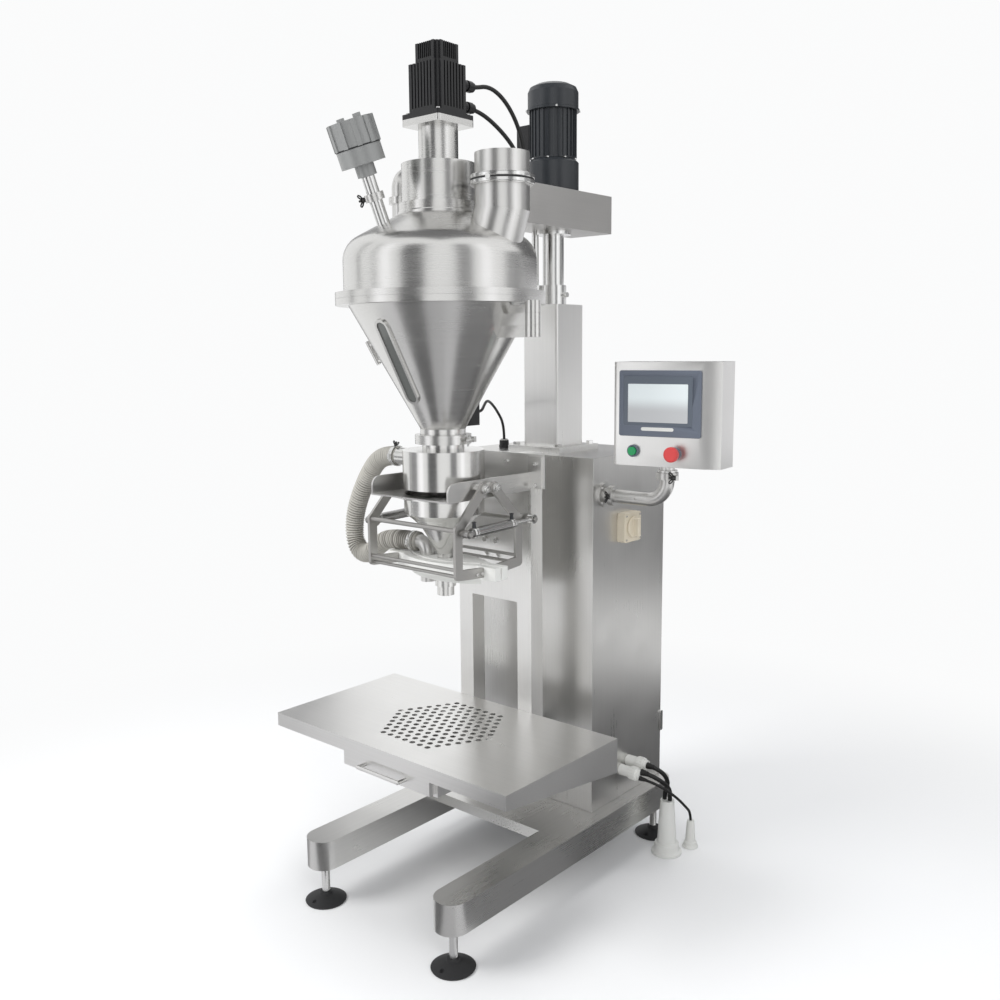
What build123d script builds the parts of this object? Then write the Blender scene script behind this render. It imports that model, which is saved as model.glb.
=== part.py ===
from build123d import *
import os
from math import atan2, cos, degrees, hypot, radians, sin, sqrt

# Auger powder filler with a bag clamp on a weighing platform.
# Units are millimetres. X points right, Y to the rear, Z up.
# Everything is drawn about the fill axis, then moved so that the floor point
# under the middle of the machine is the origin.
FILL_AXIS_X = -98.4
FILL_AXIS_Y = -209.5

# Clearances
FIT = 0.2
RUNNING = 0.05
MOVING_GAP = 0.3

# Base frame and feet
LEG_SPACING = 486
LEG_WIDTH = 93
LEG_HEIGHT = 82
LEG_TOP = 190
LEG_WALL = 4
LEG_FRONT = -247
LEG_REAR = 666
FLOOR_PLATE_FRONT = 150
FLOOR_PLATE_THICK = 6
FLOOR_PLATE_LIP = 25
PAD_RADIUS = 56.6
PAD_HEIGHT = 26
PAD_SEAT = 14
PAD_HOLE_RADIUS = 6
PAD_HOLE_CENTRE = 41
SPINDLE_RADIUS = 10
SPINDLE_NUT_RADIUS = 17
SPINDLE_NUT_HEIGHT = 14
SPINDLE_ENGAGED = 14

# Cabinet
CABINET_HALF_WIDTH = 245
CABINET_FRONT = 331
CABINET_DEPTH = 356
CABINET_TOP = 1212
CABINET_WALL = 3
REAR_DOOR_THICK = 16
REAR_DOOR_WALL = 2
REAR_DOOR_INSET = 5
REAR_DOOR_GAP = 0.5
DOOR_HINGE_RADIUS = 6
DOOR_HINGE_PIN = 3
DOOR_HINGE_KNUCKLE = 24
DOOR_HINGE_HEIGHTS = (360, 1040)
LATCH_HEIGHT = 338
LATCH_LENGTH = 56
LATCH_WIDTH = 14
LATCH_THICK = 9
LATCH_STEM_RADIUS = 5
GEAR_PLATE_WIDTH = 400
GEAR_PLATE_BOTTOM = 300
GEAR_PLATE_TOP = 1120
GEAR_PLATE_THICK = 3
GEAR_PLATE_STANDOFF = 10

# Lifting column
COLUMN_Y = 470
COLUMN_WIDTH = 125
COLUMN_WALL = 6
COLUMN_TOP = 1634
COLUMN_CORNER = 6
COLUMN_BASE_WIDTH = 190
COLUMN_BASE_THICK = 16
COLUMN_BOLT_INSET = 18
COLUMN_BOLT_RADIUS = 11
COLUMN_BOLT_HEAD = 9
COLUMN_CAP_THICK = 14
COLLAR_RADIUS = 38
COLLAR_HEIGHT = 56
GUIDE_RADIUS = 30.5
GUIDE_WALL = 4.5
GUIDE_BOTTOM = 1300
GUIDE_ROD_RADIUS = 10
GUIDE_ROD_X = -36
GUIDE_ROD_Y = -38
GUIDE_ROD_COLLAR = 18
GUIDE_FLANGE_RADIUS = 52
GUIDE_FLANGE_THICK = 12
NUT_POST_RADIUS = 22
NUT_POST_BORE = 15
NUT_POST_TOP = 1600
LIFT_NUT_HEIGHT = 40
LIFT_SCREW_RADIUS = 10
LIFT_SCREW_BOTTOM = 1280

# Lifting arm and its gear motor
ARM_HALF_WIDTH = 75
ARM_BOTTOM = 1844
ARM_TOP = 1952
ARM_REAR = 656
ARM_WALL = 4
GEARBOX_RADIUS = 73
GEARBOX_HEIGHT = 89
LIFT_MOTOR_RADIUS = 64
LIFT_MOTOR_RIB = 3.5
LIFT_MOTOR_RIBS = 28
LIFT_MOTOR_HEIGHT = 131
FAN_COVER_RADIUS = 72
FAN_COVER_HEIGHT = 73
TERMINAL_BOX = (46, 78, 68)

# Hopper
RIM_WIDTH = 32.6
RIM_BOTTOM = 1620
RIM_SPLIT = 1636
RIM_TOP = 1652
DOME_MARGIN = 11
DOME_WALL = 2.5
DOME_SHOULDER = 1730
KNUCKLE_REACH = 34
KNUCKLE_TOP = 1788
CROWN_END = (97, 1848)
CONE_TOP_RADIUS = 236
CONE_BOTTOM_RADIUS = 59.5
CONE_BOTTOM = 1305
CONE_WALL = 3
FERRULE_RADIUS = 66
FERRULE_FACE = 1278
FERRULE_THICK = 8
NECK_RADIUS = 94.6
NECK_WALL = 4
NECK_BOTTOM = 1842
NECK_TOP = 1969
NECK_RING_RADIUS = 104
NECK_RING_TOP = 1872
NECK_PLATE = 19
PEDESTAL_RADIUS = 50
PEDESTAL_WALL = 5
PEDESTAL_TOP = 2059
SERVO_FLANGE = 130
ADAPTER_THICK = 16
SERVO_FLANGE_THICK = 12
SERVO_BODY = 112
SERVO_BODY_HEIGHT = 118
SERVO_CAP = 87.2
SERVO_CAP_HEIGHT = 49
SERVO_GROOVES = 7
SERVO_GROOVE_WIDTH = 4
SERVO_GROOVE_DEPTH = 4
SERVO_CORNER = 12
SERVO_SHAFT_RADIUS = 11
BEARING_RADIUS = 30

# Hopper door with its hinge and sight glass
HOPPER_HINGE_REACH = 35.4
HOPPER_HINGE_RADIUS = 19
HOPPER_HINGE_PIN = 8
HOPPER_HINGE_BOTTOM = 1536
HOPPER_HINGE_TOP = 1622
GUSSET_THICK = 10
SIGHT_CENTRE = 1478
SIGHT_LENGTH = 240
SIGHT_WIDTH = 44
SIGHT_FRAME = 7
SIGHT_PROUD = 5
GLASS_THICK = 5
DOOR_PULL_RADIUS = 5
DOOR_PULL_HEIGHTS = (1522, 1480)
DOOR_PULL_TURN = 200
DOOR_PULL_REACH = 30

# Auger
AUGER_RADIUS = 38
AUGER_PITCH = 60
AUGER_TURNS = 3
AUGER_BOTTOM = 1118
AUGER_BLADE = 5
AUGER_SHAFT_RADIUS = 12
DRIVE_SHAFT_RADIUS = 15
DRIVE_SHAFT_BOTTOM = 1690
COUPLING_RADIUS = 24
COUPLING_BOTTOM = 1995
COUPLING_HEIGHT = 50
AGITATOR_ROD = 7
AGITATOR_WALL_GAP = 28
AGITATOR_TOP = 1590
AGITATOR_BOTTOM = 1350
AGITATOR_HUB_RADIUS = 22
AGITATOR_HUB_HEIGHT = 30

# Dust chamber and fill tube
CHAMBER_RADIUS = 108
CHAMBER_BOTTOM = 1150
CHAMBER_TOP = 1250
CHAMBER_WALL = 3
CHAMBER_PLATE = 4
CHAMBER_LIP = 16
CHAMBER_NECK_RADIUS = 55
FILL_TUBE_RADIUS = 42
FILL_TUBE_WALL = 2.5
FILL_TUBE_BOTTOM = 1112
FILL_COLLAR_THICK = 7
SPIGOT_RADIUS = 24
SPIGOT_WALL = 2
SPIGOT_DROP = 28
SPIGOT_END = -168
CLAMP_BAND = 8
CLAMP_LIP = 4

# Pipework on the lid
INLET_RADIUS = 67
INLET_WALL = 4.5
INLET_X = 195
INLET_Y = 18
INLET_TOP = 1975
INLET_MITRE = 1847
INLET_LEAN = 18
INLET_SEAT_RADIUS = 65
INLET_SEAT_DEPTH = 60
INLET_CLAMP_BOTTOM = 1898
INLET_CLAMP_HEIGHT = 26
SENSOR_BASE = (-42, -156, 1819)
SENSOR_LEAN = 20
SENSOR_PIPE_RADIUS = 16
SENSOR_PIPE_WALL = 2
SENSOR_CLAMP_AT = 62
SENSOR_CLAMP_HEIGHT = 18
SENSOR_NECK_AT = 112
SENSOR_NECK_RADIUS = 24
SENSOR_NECK_HEIGHT = 28
SENSOR_BODY_RADIUS = 55
SENSOR_BODY_HEIGHT = 42
SENSOR_COVER_HEIGHT = 62
SENSOR_COVER_RIBS = 10
VENT_X = -136
VENT_Y = -4
VENT_RADIUS = 23
VENT_WALL = 2
VENT_ELBOW = 1958
VENT_LENGTH = 70
VENT_CLAMP_BOTTOM = 1884
VENT_CLAMP_HEIGHT = 18
VIBRATOR_SIZE = (44, 40, 66)
VIBRATOR_RISE = 35

# Weighing platform and its frame
PLATFORM_HALF_WIDTH = 422.5
PLATFORM_FRONT = -252
PLATFORM_REAR = 196.7
PLATFORM_TOP = 501
PLATFORM_SHEET = 3
PLATFORM_LIP = 37.5
PLATFORM_SKIRT = 94.6
HOLE_RADIUS = 8
HOLE_PITCH = 27.5
HOLE_FIELD_RADIUS = 168
HOLE_FIELD_Y = -20
POST_WIDTH = 50
POST_WALL = 4
POST_X = 109
POST_FRONT = 197
POST_BOTTOM = 406
CROSS_PLATE_BOTTOM = 812
CROSS_PLATE_THICK = 6
BEAM_WIDTH = 40
BEAM_X = 212
BEAM_HEIGHT = 52
BEAM_FRONT = -215
LOAD_CELL_WIDTH = 40
LOAD_CELL_HEIGHT = 44
LOAD_CELL_FRONT = 172
LOAD_CELL_SPACER = 6
DRAWER_HALF_WIDTH = 160
DRAWER_FRONT = -236
DRAWER_REAR = 130
DRAWER_BOTTOM = 416
DRAWER_TOP = 458
DRAWER_WALL = 2
DRAWER_RUNNER = 8
DRAWER_HANDLE_WIDTH = 150
DRAWER_HANDLE_REACH = 26
DRAWER_HANDLE_RADIUS = 5

# Bag clamp
MOUNT_PLATE_HALF_WIDTH = 183
MOUNT_PLATE_BOTTOM = 1138
MOUNT_PLATE_TOP = 1230
MOUNT_PLATE_THICK = 5
CLAMP_ARM_X = 140
CLAMP_ARM_THICK = 6
CLAMP_ARM_BOTTOM = 1132
CLAMP_ARM_TOP = 1181
CLAMP_ARM_FRONT = -131
CLAMP_ARM_CORNER = 26
CLAMP_FLANGE_WIDTH = 38
CLAMP_FLANGE_TOP = 1224
CLAMP_SHEET = 4
CLAMP_SHEET_REAR = 131
CLAMP_HOLE_RADIUS = 104
PIVOT_SPACING = 42
PIVOT_RISE = 27
PIVOT_RADIUS = 8
PIVOT_HEAD_RADIUS = 12
PIVOT_HEAD_THICK = 5
JAW_INNER = 152
JAW_THICK = 8
JAW_BAR_WIDTH = 26
JAW_HUB_RADIUS = 16
JAW_ELBOW_Y = 116
JAW_ELBOW_Z = 1065
JAW_FOOT_Z = 952
JAW_FOOT_RISE = -8
JAW_ROD_RADIUS = 6
JAW_LOWER_ROD_RADIUS = 4.5
FRONT_PIN_Y = -104
FRONT_PIN_Z = 1057
REAR_PIN_Y = 149
REAR_PIN_Z = 1063
JAW_PIN_RADIUS = 6
JAW_EAR_RADIUS = 14
JAW_OPEN_DEG = 16
SPOUT_HALF_LENGTH = 128
SPOUT_HALF_DEPTH = 40
SPOUT_BOTTOM = 905
SPOUT_TOP = 962
GRIP_GAP = 2
GRIP_THICK = 24
GRIP_HALF_LENGTH = 198
GRIP_BOTTOM = 925
GRIP_TOP = 960
GRIP_MEET = 1.5
CYLINDER_X = 177
CYLINDER_RADIUS = 13
CYLINDER_EYE_WIDTH = 18
CYLINDER_START = 18
CYLINDER_LENGTH = 160
CYLINDER_CAP = 16
CYLINDER_ROD_RADIUS = 5
PISTON_AT = 98
PISTON_THICK = 8
ROD_EYE_RADIUS = 12
ROD_EYE_CLEARANCE = 1.9

# Funnel bowl and outlet
BOWL_FLANGE_RADIUS = 128
BOWL_RADIUS = 106
BOWL_SHOULDER = 1084
BOWL_WAIST_RADIUS = 62
BOWL_WAIST = 1046
BOWL_OUTLET_RADIUS = 20.5
BOWL_OUTLET = 973
BOWL_WALL = 2.5
NOZZLE_COLLAR_RADIUS = 28
NOZZLE_COLLAR_BOTTOM = 885
NOZZLE_RADIUS = 23
NOZZLE_BOTTOM = 860
NOZZLE_BORE = 18
NOZZLE_NUT_RADIUS = 33
SUCTION_X = -66
SUCTION_RADIUS = 20
SUCTION_WALL = 2
SUCTION_BOTTOM = 888
SUCTION_ELBOW = 992
SUCTION_END = -100
HOSE_RADIUS = 27
HOSE_ROUTE = [
    (-214, 0, 992),
    (-268, 3, 958),
    (-312, 6, 928),
    (-352, 9, 932),
    (-376, 10, 968),
    (-372, 10, 1034),
    (-342, 9, 1102),
    (-300, 7, 1164),
    (-254, 2, 1208),
    (-204, 0, 1222),
]

# Operator panel on its pipe
PANEL_PIPE_X = 446
PANEL_PIPE_Y = 385
PANEL_PIPE_Z = 1107
PANEL_PIPE_RADIUS = 19
PANEL_PIPE_WALL = 2
PANEL_PIPE_BEND = 57
PANEL_PIPE_TOP = 1184
PANEL_CLAMP_RADIUS = 29
PANEL_TURN = 7.5
PANEL_LEFT = -114
PANEL_RIGHT = 124
PANEL_FRONT = -70
PANEL_BACK = 28
PANEL_LEFT_BEVEL = (10, 4)
PANEL_RIGHT_BEVEL = (43.5, 14.3)
PANEL_BOTTOM = 1205
PANEL_TOP = 1473
PANEL_WALL = 3
BEZEL_CENTRE = (7, 1367)
BEZEL_SIZE = (226, 169)
BEZEL_PROUD = 5
DISPLAY_BODY = (192, 136, 35)
SCREEN_CENTRE = (2.5, 1368)
SCREEN_SIZE = (169, 98)
SCREEN_DEPTH = 1.5
START_AT = (-65, 1244)
STOP_AT = (51, 1241)
START_RADIUS = 11
STOP_RADIUS = 19.5
STOP_NECK_RADIUS = 11
COLLAR_RIM = 5
COLLAR_DEPTH = 8
BUTTON_STEM_RADIUS = 5
BUTTON_TRAVEL = 4

# Main switch, cable glands and cables
SWITCH_Y = 490
SWITCH_Z = 1004
SWITCH_SIZE = 84
SWITCH_THICK = 26
SWITCH_DIAL_RADIUS = 30
SWITCH_DIAL_THICK = 6
SWITCH_GRIP = (14, 52, 16)
SWITCH_SHAFT_RADIUS = 6
GLAND_PLACES = [(514, 292), (478, 274)]
GLAND_RADIUS = 19
GLAND_LENGTH = 70
SMALL_GLAND_RADIUS = 13
PLUG_PLACES = [(96, 586), (132, 664)]
PLUG_SIZES = [(45, 168), (24, 85)]
CORD_RADII = (6.5, 6.5, 4)
CORD_ROUTES = [
    [
        (70, 514, 292), (96, 514, 292), (115, 534, 272), (113, 562, 236),
        (94, 582, 204), (87, 586, 188), (87, 586, 168),
    ],
    [
        (70, 484, 281), (96, 484, 281), (120, 506, 262), (124, 542, 232),
        (112, 574, 202), (105, 586, 188), (105, 586, 168),
    ],
    [
        (70, 474, 266), (98, 474, 266), (131, 500, 246), (147, 560, 196),
        (139, 626, 140), (132, 660, 112), (132, 664, 85),
    ],
]
SERVO_CABLE_RADIUS = 5.5
SERVO_PLUG_RADIUS = 11
SERVO_PLUGS = [(14, 2172), (14, 2120)]
ARM_GLANDS = [(34, 300), (62, 250)]
ARM_GLAND_HEIGHT = 18
SERVO_ROUTES = [
    [(14, 118, 2172), (20, 172, 2186), (30, 222, 2160), (37, 264, 2108), (36, 292, 2050), (34, 300, 2000)],
    [(14, 112, 2120), (24, 150, 2108), (40, 190, 2078), (54, 226, 2040), (62, 250, 1998)],
]
VIBRATOR_CABLE_RADIUS = 4
VIBRATOR_GLAND = (-150, 420)
TOP_GLAND_HEIGHT = 26
VIBRATOR_CABLE_ROUTE = [
    (0, 150, 1340), (-34, 200, 1354), (-74, 256, 1364),
    (-112, 316, 1356), (-140, 376, 1328), (-150, 420, 1284),
]

# Sizes that follow from the ones above
LEG_BOTTOM = LEG_TOP - LEG_HEIGHT
RIM_RADIUS = CONE_TOP_RADIUS + RIM_WIDTH
DOME_RADIUS = CONE_TOP_RADIUS + DOME_MARGIN
KNUCKLE_END = (DOME_RADIUS - KNUCKLE_REACH, KNUCKLE_TOP)
HOPPER_HINGE_X = RIM_RADIUS + HOPPER_HINGE_REACH
VIBRATOR_HEIGHT = CONE_BOTTOM + VIBRATOR_RISE
PIVOT_HEIGHT = CLAMP_ARM_BOTTOM + PIVOT_RISE
CABINET_REAR = CABINET_FRONT + CABINET_DEPTH
LEG_X = LEG_SPACING / 2
COLUMN_BASE_TOP = CABINET_TOP + COLUMN_BASE_THICK
COLLAR_TOP = COLUMN_TOP + COLLAR_HEIGHT
GEARBOX_TOP = ARM_TOP + GEARBOX_HEIGHT
LIFT_MOTOR_TOP = GEARBOX_TOP + LIFT_MOTOR_HEIGHT
ADAPTER_TOP = PEDESTAL_TOP + ADAPTER_THICK
SERVO_FLANGE_TOP = ADAPTER_TOP + SERVO_FLANGE_THICK
SERVO_BODY_TOP = SERVO_FLANGE_TOP + SERVO_BODY_HEIGHT
SERVO_TOP = SERVO_BODY_TOP + SERVO_CAP_HEIGHT
SPIGOT_HEIGHT = CHAMBER_TOP - SPIGOT_DROP
CONE_SLOPE = (CONE_TOP_RADIUS - CONE_BOTTOM_RADIUS) / (RIM_BOTTOM - CONE_BOTTOM)
SHEET_BOTTOM = PLATFORM_TOP - PLATFORM_SHEET
PIVOT_Y = PIVOT_SPACING / 2
JAW_OUTER = JAW_INNER + JAW_THICK
CYLINDER_SPAN = hypot(REAR_PIN_Y - FRONT_PIN_Y, REAR_PIN_Z - FRONT_PIN_Z)
CYLINDER_TILT = degrees(atan2(REAR_PIN_Z - FRONT_PIN_Z, REAR_PIN_Y - FRONT_PIN_Y))
LENS_RADIUS = (SPOUT_HALF_LENGTH ** 2 + SPOUT_HALF_DEPTH ** 2) / (2 * SPOUT_HALF_DEPTH)
LENS_CENTRE = LENS_RADIUS - SPOUT_HALF_DEPTH
PANEL_PLACE = Pos(PANEL_PIPE_X, PANEL_PIPE_Y, 0) * Rot(0, 0, PANEL_TURN)
BIG = 3000


def block(x0, x1, y0, y1, z0, z1):
    """A box between two corners."""
    return Pos((x0 + x1) / 2, (y0 + y1) / 2, (z0 + z1) / 2) * Box(x1 - x0, y1 - y0, z1 - z0)


def post(radius, z0, z1, x=0, y=0):
    """An upright cylinder."""
    return Pos(x, y, (z0 + z1) / 2) * Cylinder(radius, z1 - z0)


def pipe(radius, wall, z0, z1, x=0, y=0):
    """An upright tube."""
    return post(radius, z0, z1, x, y) - post(radius - wall, z0, z1, x, y)


def rod(start, end, radius):
    """A round bar from one point to another."""
    path = Vector(*end) - Vector(*start)
    return extrude(Plane(origin=start, z_dir=path) * Circle(radius), path.length)


def cross_bar(radius, x0, x1, y, z):
    """A round bar along X."""
    return Pos((x0 + x1) / 2, y, z) * Rot(0, 90, 0) * Cylinder(radius, x1 - x0)


def turned(points):
    """A solid turned about the fill axis from a closed (radius, height) outline."""
    return revolve(Plane.XZ * make_face(Polyline(*points, close=True)), Axis.Z)


def cord(points, radius):
    """A round cable along straight runs joined by tangent arcs."""
    corners = [Vector(*p) for p in points]
    radii = []
    for before, at, after in zip(corners, corners[1:], corners[2:]):
        turn = (at - before).get_angle(after - at)
        shorter = min((at - before).length, (after - at).length)
        radii.append(0.45 * shorter / max(0.02, sin(radians(turn / 2)) / cos(radians(turn / 2))))
    path = FilletPolyline(*corners, radius=radii)
    section = Plane(origin=corners[0], z_dir=corners[1] - corners[0]) * Circle(radius)
    print("cable radius", radius, "bends", [round(r) for r in radii], "length", round(path.length))
    return sweep(section, path=path)


def dome(inset):
    """The solid inside the lid's dome, drawn in by the given amount."""
    tangent = (KNUCKLE_END[0] - DOME_RADIUS, KNUCKLE_END[1] - DOME_SHOULDER)
    turn = 2 * atan2(-tangent[0], tangent[1])
    side = (DOME_RADIUS - inset, DOME_SHOULDER)
    knuckle = (KNUCKLE_END[0] - inset * cos(turn), KNUCKLE_END[1] - inset * sin(turn))
    crown = (CROWN_END[0], CROWN_END[1] - inset)
    outline = [
        Line((0, RIM_SPLIT), (side[0], RIM_SPLIT)),
        Line((side[0], RIM_SPLIT), side),
        TangentArc(side, knuckle, tangent=(0, 1)),
        TangentArc(knuckle, crown, tangent=(-sin(turn), cos(turn))),
        Line(crown, (0, crown[1])),
        Line((0, crown[1]), (0, RIM_SPLIT)),
    ]
    return revolve(Plane.XZ * make_face(Curve() + outline), Axis.Z)


def cone_radius(z):
    """Outside radius of the hopper cone at a height."""
    return CONE_BOTTOM_RADIUS + CONE_SLOPE * (z - CONE_BOTTOM)


def mirrored(solid):
    """The solid and its mirror image across the machine's middle plane."""
    return [solid, mirror(solid, about=Plane.YZ)]


os.makedirs("parts", exist_ok=True)
AT_ORIGIN = Pos(FILL_AXIS_X, FILL_AXIS_Y, 0)


def save(name, *solids):
    """Write one node. A node of several solids keeps them separate."""
    moved = []
    for solid in solids:
        moved.extend((AT_ORIGIN * solid).solids())
    export_step(moved[0] if len(moved) == 1 else Compound(children=moved), f"parts/{name}.step")


# Base frame: two round-ended legs joined by the floor plate
leg_length = LEG_REAR - LEG_FRONT
leg_middle = Pos(0, (LEG_FRONT + LEG_REAR) / 2, 0) * Rot(0, 0, 90)
leg_skin = extrude(Pos(0, 0, LEG_BOTTOM) * leg_middle * SlotCenterToCenter(leg_length, LEG_WIDTH), LEG_HEIGHT)
leg_void = extrude(
    Pos(0, 0, LEG_BOTTOM + LEG_WALL) * leg_middle * SlotCenterToCenter(leg_length, LEG_WIDTH - 2 * LEG_WALL),
    LEG_HEIGHT - 2 * LEG_WALL,
)
leg = leg_skin - leg_void
for y in (LEG_FRONT, LEG_REAR):
    leg -= post(SPINDLE_RADIUS + FIT, LEG_BOTTOM, LEG_BOTTOM + LEG_WALL, 0, y)
legs_inside = LEG_X - LEG_WIDTH / 2
floor_plate = block(
    -legs_inside, legs_inside, FLOOR_PLATE_FRONT, CABINET_REAR, LEG_TOP - FLOOR_PLATE_THICK, LEG_TOP
)
floor_lip = block(
    -legs_inside, legs_inside, FLOOR_PLATE_FRONT, FLOOR_PLATE_FRONT + CABINET_WALL,
    LEG_TOP - FLOOR_PLATE_THICK - FLOOR_PLATE_LIP, LEG_TOP - FLOOR_PLATE_THICK,
)
save("base_frame", Pos(-LEG_X, 0, 0) * leg + Pos(LEG_X, 0, 0) * leg + floor_plate + floor_lip)

# Levelling feet: domed pads, spindles and lock nuts
FOOT_PLACES = [(x, y) for x in (-LEG_X, LEG_X) for y in (LEG_FRONT, LEG_REAR)]
pad_outline = [
    Line((0, 0), (PAD_RADIUS - 2, 0)),
    Line((PAD_RADIUS - 2, 0), (PAD_RADIUS, 4)),
    ThreePointArc((PAD_RADIUS, 4), (PAD_RADIUS * 0.66, 13), (SPINDLE_RADIUS + 8, PAD_HEIGHT - 6)),
    Line((SPINDLE_RADIUS + 8, PAD_HEIGHT - 6), (SPINDLE_RADIUS + 6, PAD_HEIGHT)),
    Line((SPINDLE_RADIUS + 6, PAD_HEIGHT), (0, PAD_HEIGHT)),
    Line((0, PAD_HEIGHT), (0, 0)),
]
pad = revolve(Plane.XZ * make_face(Curve() + pad_outline), Axis.Z)
pad -= post(SPINDLE_RADIUS + FIT, PAD_SEAT, PAD_HEIGHT)
pad -= post(PAD_HOLE_RADIUS, 0, PAD_HEIGHT, 0, -PAD_HOLE_CENTRE)
spindle = post(SPINDLE_RADIUS, PAD_SEAT, LEG_BOTTOM + SPINDLE_ENGAGED)
lock_nut = extrude(
    Pos(0, 0, LEG_BOTTOM - SPINDLE_NUT_HEIGHT) * RegularPolygon(SPINDLE_NUT_RADIUS, 6), SPINDLE_NUT_HEIGHT
)
lock_nut -= post(SPINDLE_RADIUS + FIT, LEG_BOTTOM - SPINDLE_NUT_HEIGHT, LEG_BOTTOM)
save("foot_pads", *[Pos(x, y, 0) * pad for x, y in FOOT_PLACES])
save("foot_spindles", *[Pos(x, y, 0) * s for x, y in FOOT_PLACES for s in (spindle, lock_nut)])

# Cabinet shell, open at the rear, with the fixed hinge knuckles of its door
cabinet = block(-CABINET_HALF_WIDTH, CABINET_HALF_WIDTH, CABINET_FRONT, CABINET_REAR, LEG_TOP, CABINET_TOP)
cabinet -= block(
    -CABINET_HALF_WIDTH + CABINET_WALL, CABINET_HALF_WIDTH - CABINET_WALL,
    CABINET_FRONT + CABINET_WALL, CABINET_REAR + CABINET_WALL,
    LEG_TOP + CABINET_WALL, CABINET_TOP - CABINET_WALL,
)
DOOR_HINGE_X = -CABINET_HALF_WIDTH - DOOR_HINGE_RADIUS
DOOR_HINGE_Y = CABINET_REAR
for z in DOOR_HINGE_HEIGHTS:
    knuckle = post(DOOR_HINGE_RADIUS, z, z + DOOR_HINGE_KNUCKLE, DOOR_HINGE_X, DOOR_HINGE_Y)
    leaf = block(
        DOOR_HINGE_X, -CABINET_HALF_WIDTH, CABINET_REAR - 4 * DOOR_HINGE_RADIUS, CABINET_REAR,
        z, z + DOOR_HINGE_KNUCKLE,
    )
    pin = post(DOOR_HINGE_PIN, z, z + 2 * DOOR_HINGE_KNUCKLE, DOOR_HINGE_X, DOOR_HINGE_Y)
    cabinet += knuckle + leaf + pin
save("cabinet_shell", cabinet)

# Rear door: a shallow tray on two lift-off hinges
door_left = -CABINET_HALF_WIDTH + REAR_DOOR_INSET
door_right = CABINET_HALF_WIDTH - REAR_DOOR_INSET
door_front = CABINET_REAR + REAR_DOOR_GAP
door_bottom = LEG_TOP + REAR_DOOR_INSET
door_top = CABINET_TOP - REAR_DOOR_INSET
rear_door = block(door_left, door_right, door_front, door_front + REAR_DOOR_THICK, door_bottom, door_top)
rear_door -= block(
    door_left + REAR_DOOR_WALL, door_right - REAR_DOOR_WALL,
    door_front, door_front + REAR_DOOR_THICK - REAR_DOOR_WALL,
    door_bottom + REAR_DOOR_WALL, door_top - REAR_DOOR_WALL,
)
for z in DOOR_HINGE_HEIGHTS:
    low = z + DOOR_HINGE_KNUCKLE + MOVING_GAP
    knuckle = post(DOOR_HINGE_RADIUS, low, low + DOOR_HINGE_KNUCKLE, DOOR_HINGE_X, DOOR_HINGE_Y)
    leaf = block(
        DOOR_HINGE_X, door_left, door_front + 1, door_front + DOOR_HINGE_RADIUS, low, low + DOOR_HINGE_KNUCKLE
    )
    rear_door += knuckle + leaf
    rear_door -= post(DOOR_HINGE_PIN + RUNNING, low, low + DOOR_HINGE_KNUCKLE, DOOR_HINGE_X, DOOR_HINGE_Y)
LATCH_Y = door_front + REAR_DOOR_THICK / 2
rear_door -= Pos(door_right, LATCH_Y, LATCH_HEIGHT) * Rot(0, 90, 0) * Cylinder(
    LATCH_STEM_RADIUS + RUNNING, 4 * REAR_DOOR_WALL
)
save("rear_door", rear_door)
latch_bar = block(
    door_right + MOVING_GAP, door_right + MOVING_GAP + LATCH_THICK,
    LATCH_Y - LATCH_WIDTH / 2, LATCH_Y + LATCH_WIDTH / 2,
    LATCH_HEIGHT - LATCH_WIDTH / 2, LATCH_HEIGHT + LATCH_LENGTH,
)
latch_bar = fillet(latch_bar.edges().filter_by(Axis.X), LATCH_WIDTH / 3)
latch_stem = cross_bar(
    LATCH_STEM_RADIUS, door_right - 3 * REAR_DOOR_WALL, door_right + MOVING_GAP, LATCH_Y, LATCH_HEIGHT
)
save("rear_door_latch", latch_bar + latch_stem)

# Control gear inside the cabinet: a gear plate with drives, rail modules and air valves
plate_front = CABINET_FRONT + CABINET_WALL + GEAR_PLATE_STANDOFF
plate_rear = plate_front + GEAR_PLATE_THICK
half_plate = GEAR_PLATE_WIDTH / 2
gear_plate = block(-half_plate, half_plate, plate_front, plate_rear, GEAR_PLATE_BOTTOM, GEAR_PLATE_TOP)
for x in (-half_plate + 20, half_plate - 20):
    for z in (GEAR_PLATE_BOTTOM + 20, GEAR_PLATE_TOP - 20):
        gear_plate += Pos(
            x, plate_front - GEAR_PLATE_STANDOFF / 2, z
        ) * Rot(90, 0, 0) * Cylinder(8, GEAR_PLATE_STANDOFF)
servo_drive = block(-170, -90, plate_rear, plate_rear + 150, 820, 1000)
lift_drive = block(-60, 40, plate_rear, plate_rear + 120, 830, 1000)
din_rail = block(-175, 175, plate_rear, plate_rear + 8, 640, 675)
modules = [block(-165 + 55 * i, -115 + 55 * i, plate_rear + 8, plate_rear + 80, 610, 710) for i in range(6)]
valve_block = block(70, 170, plate_rear, plate_rear + 60, 400, 450)
valves = [block(74 + 32 * i, 102 + 32 * i, plate_rear + 60, plate_rear + 96, 404, 446) for i in range(3)]
save("control_gear", gear_plate, servo_drive, lift_drive, din_rail, *modules, valve_block, *valves)

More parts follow.
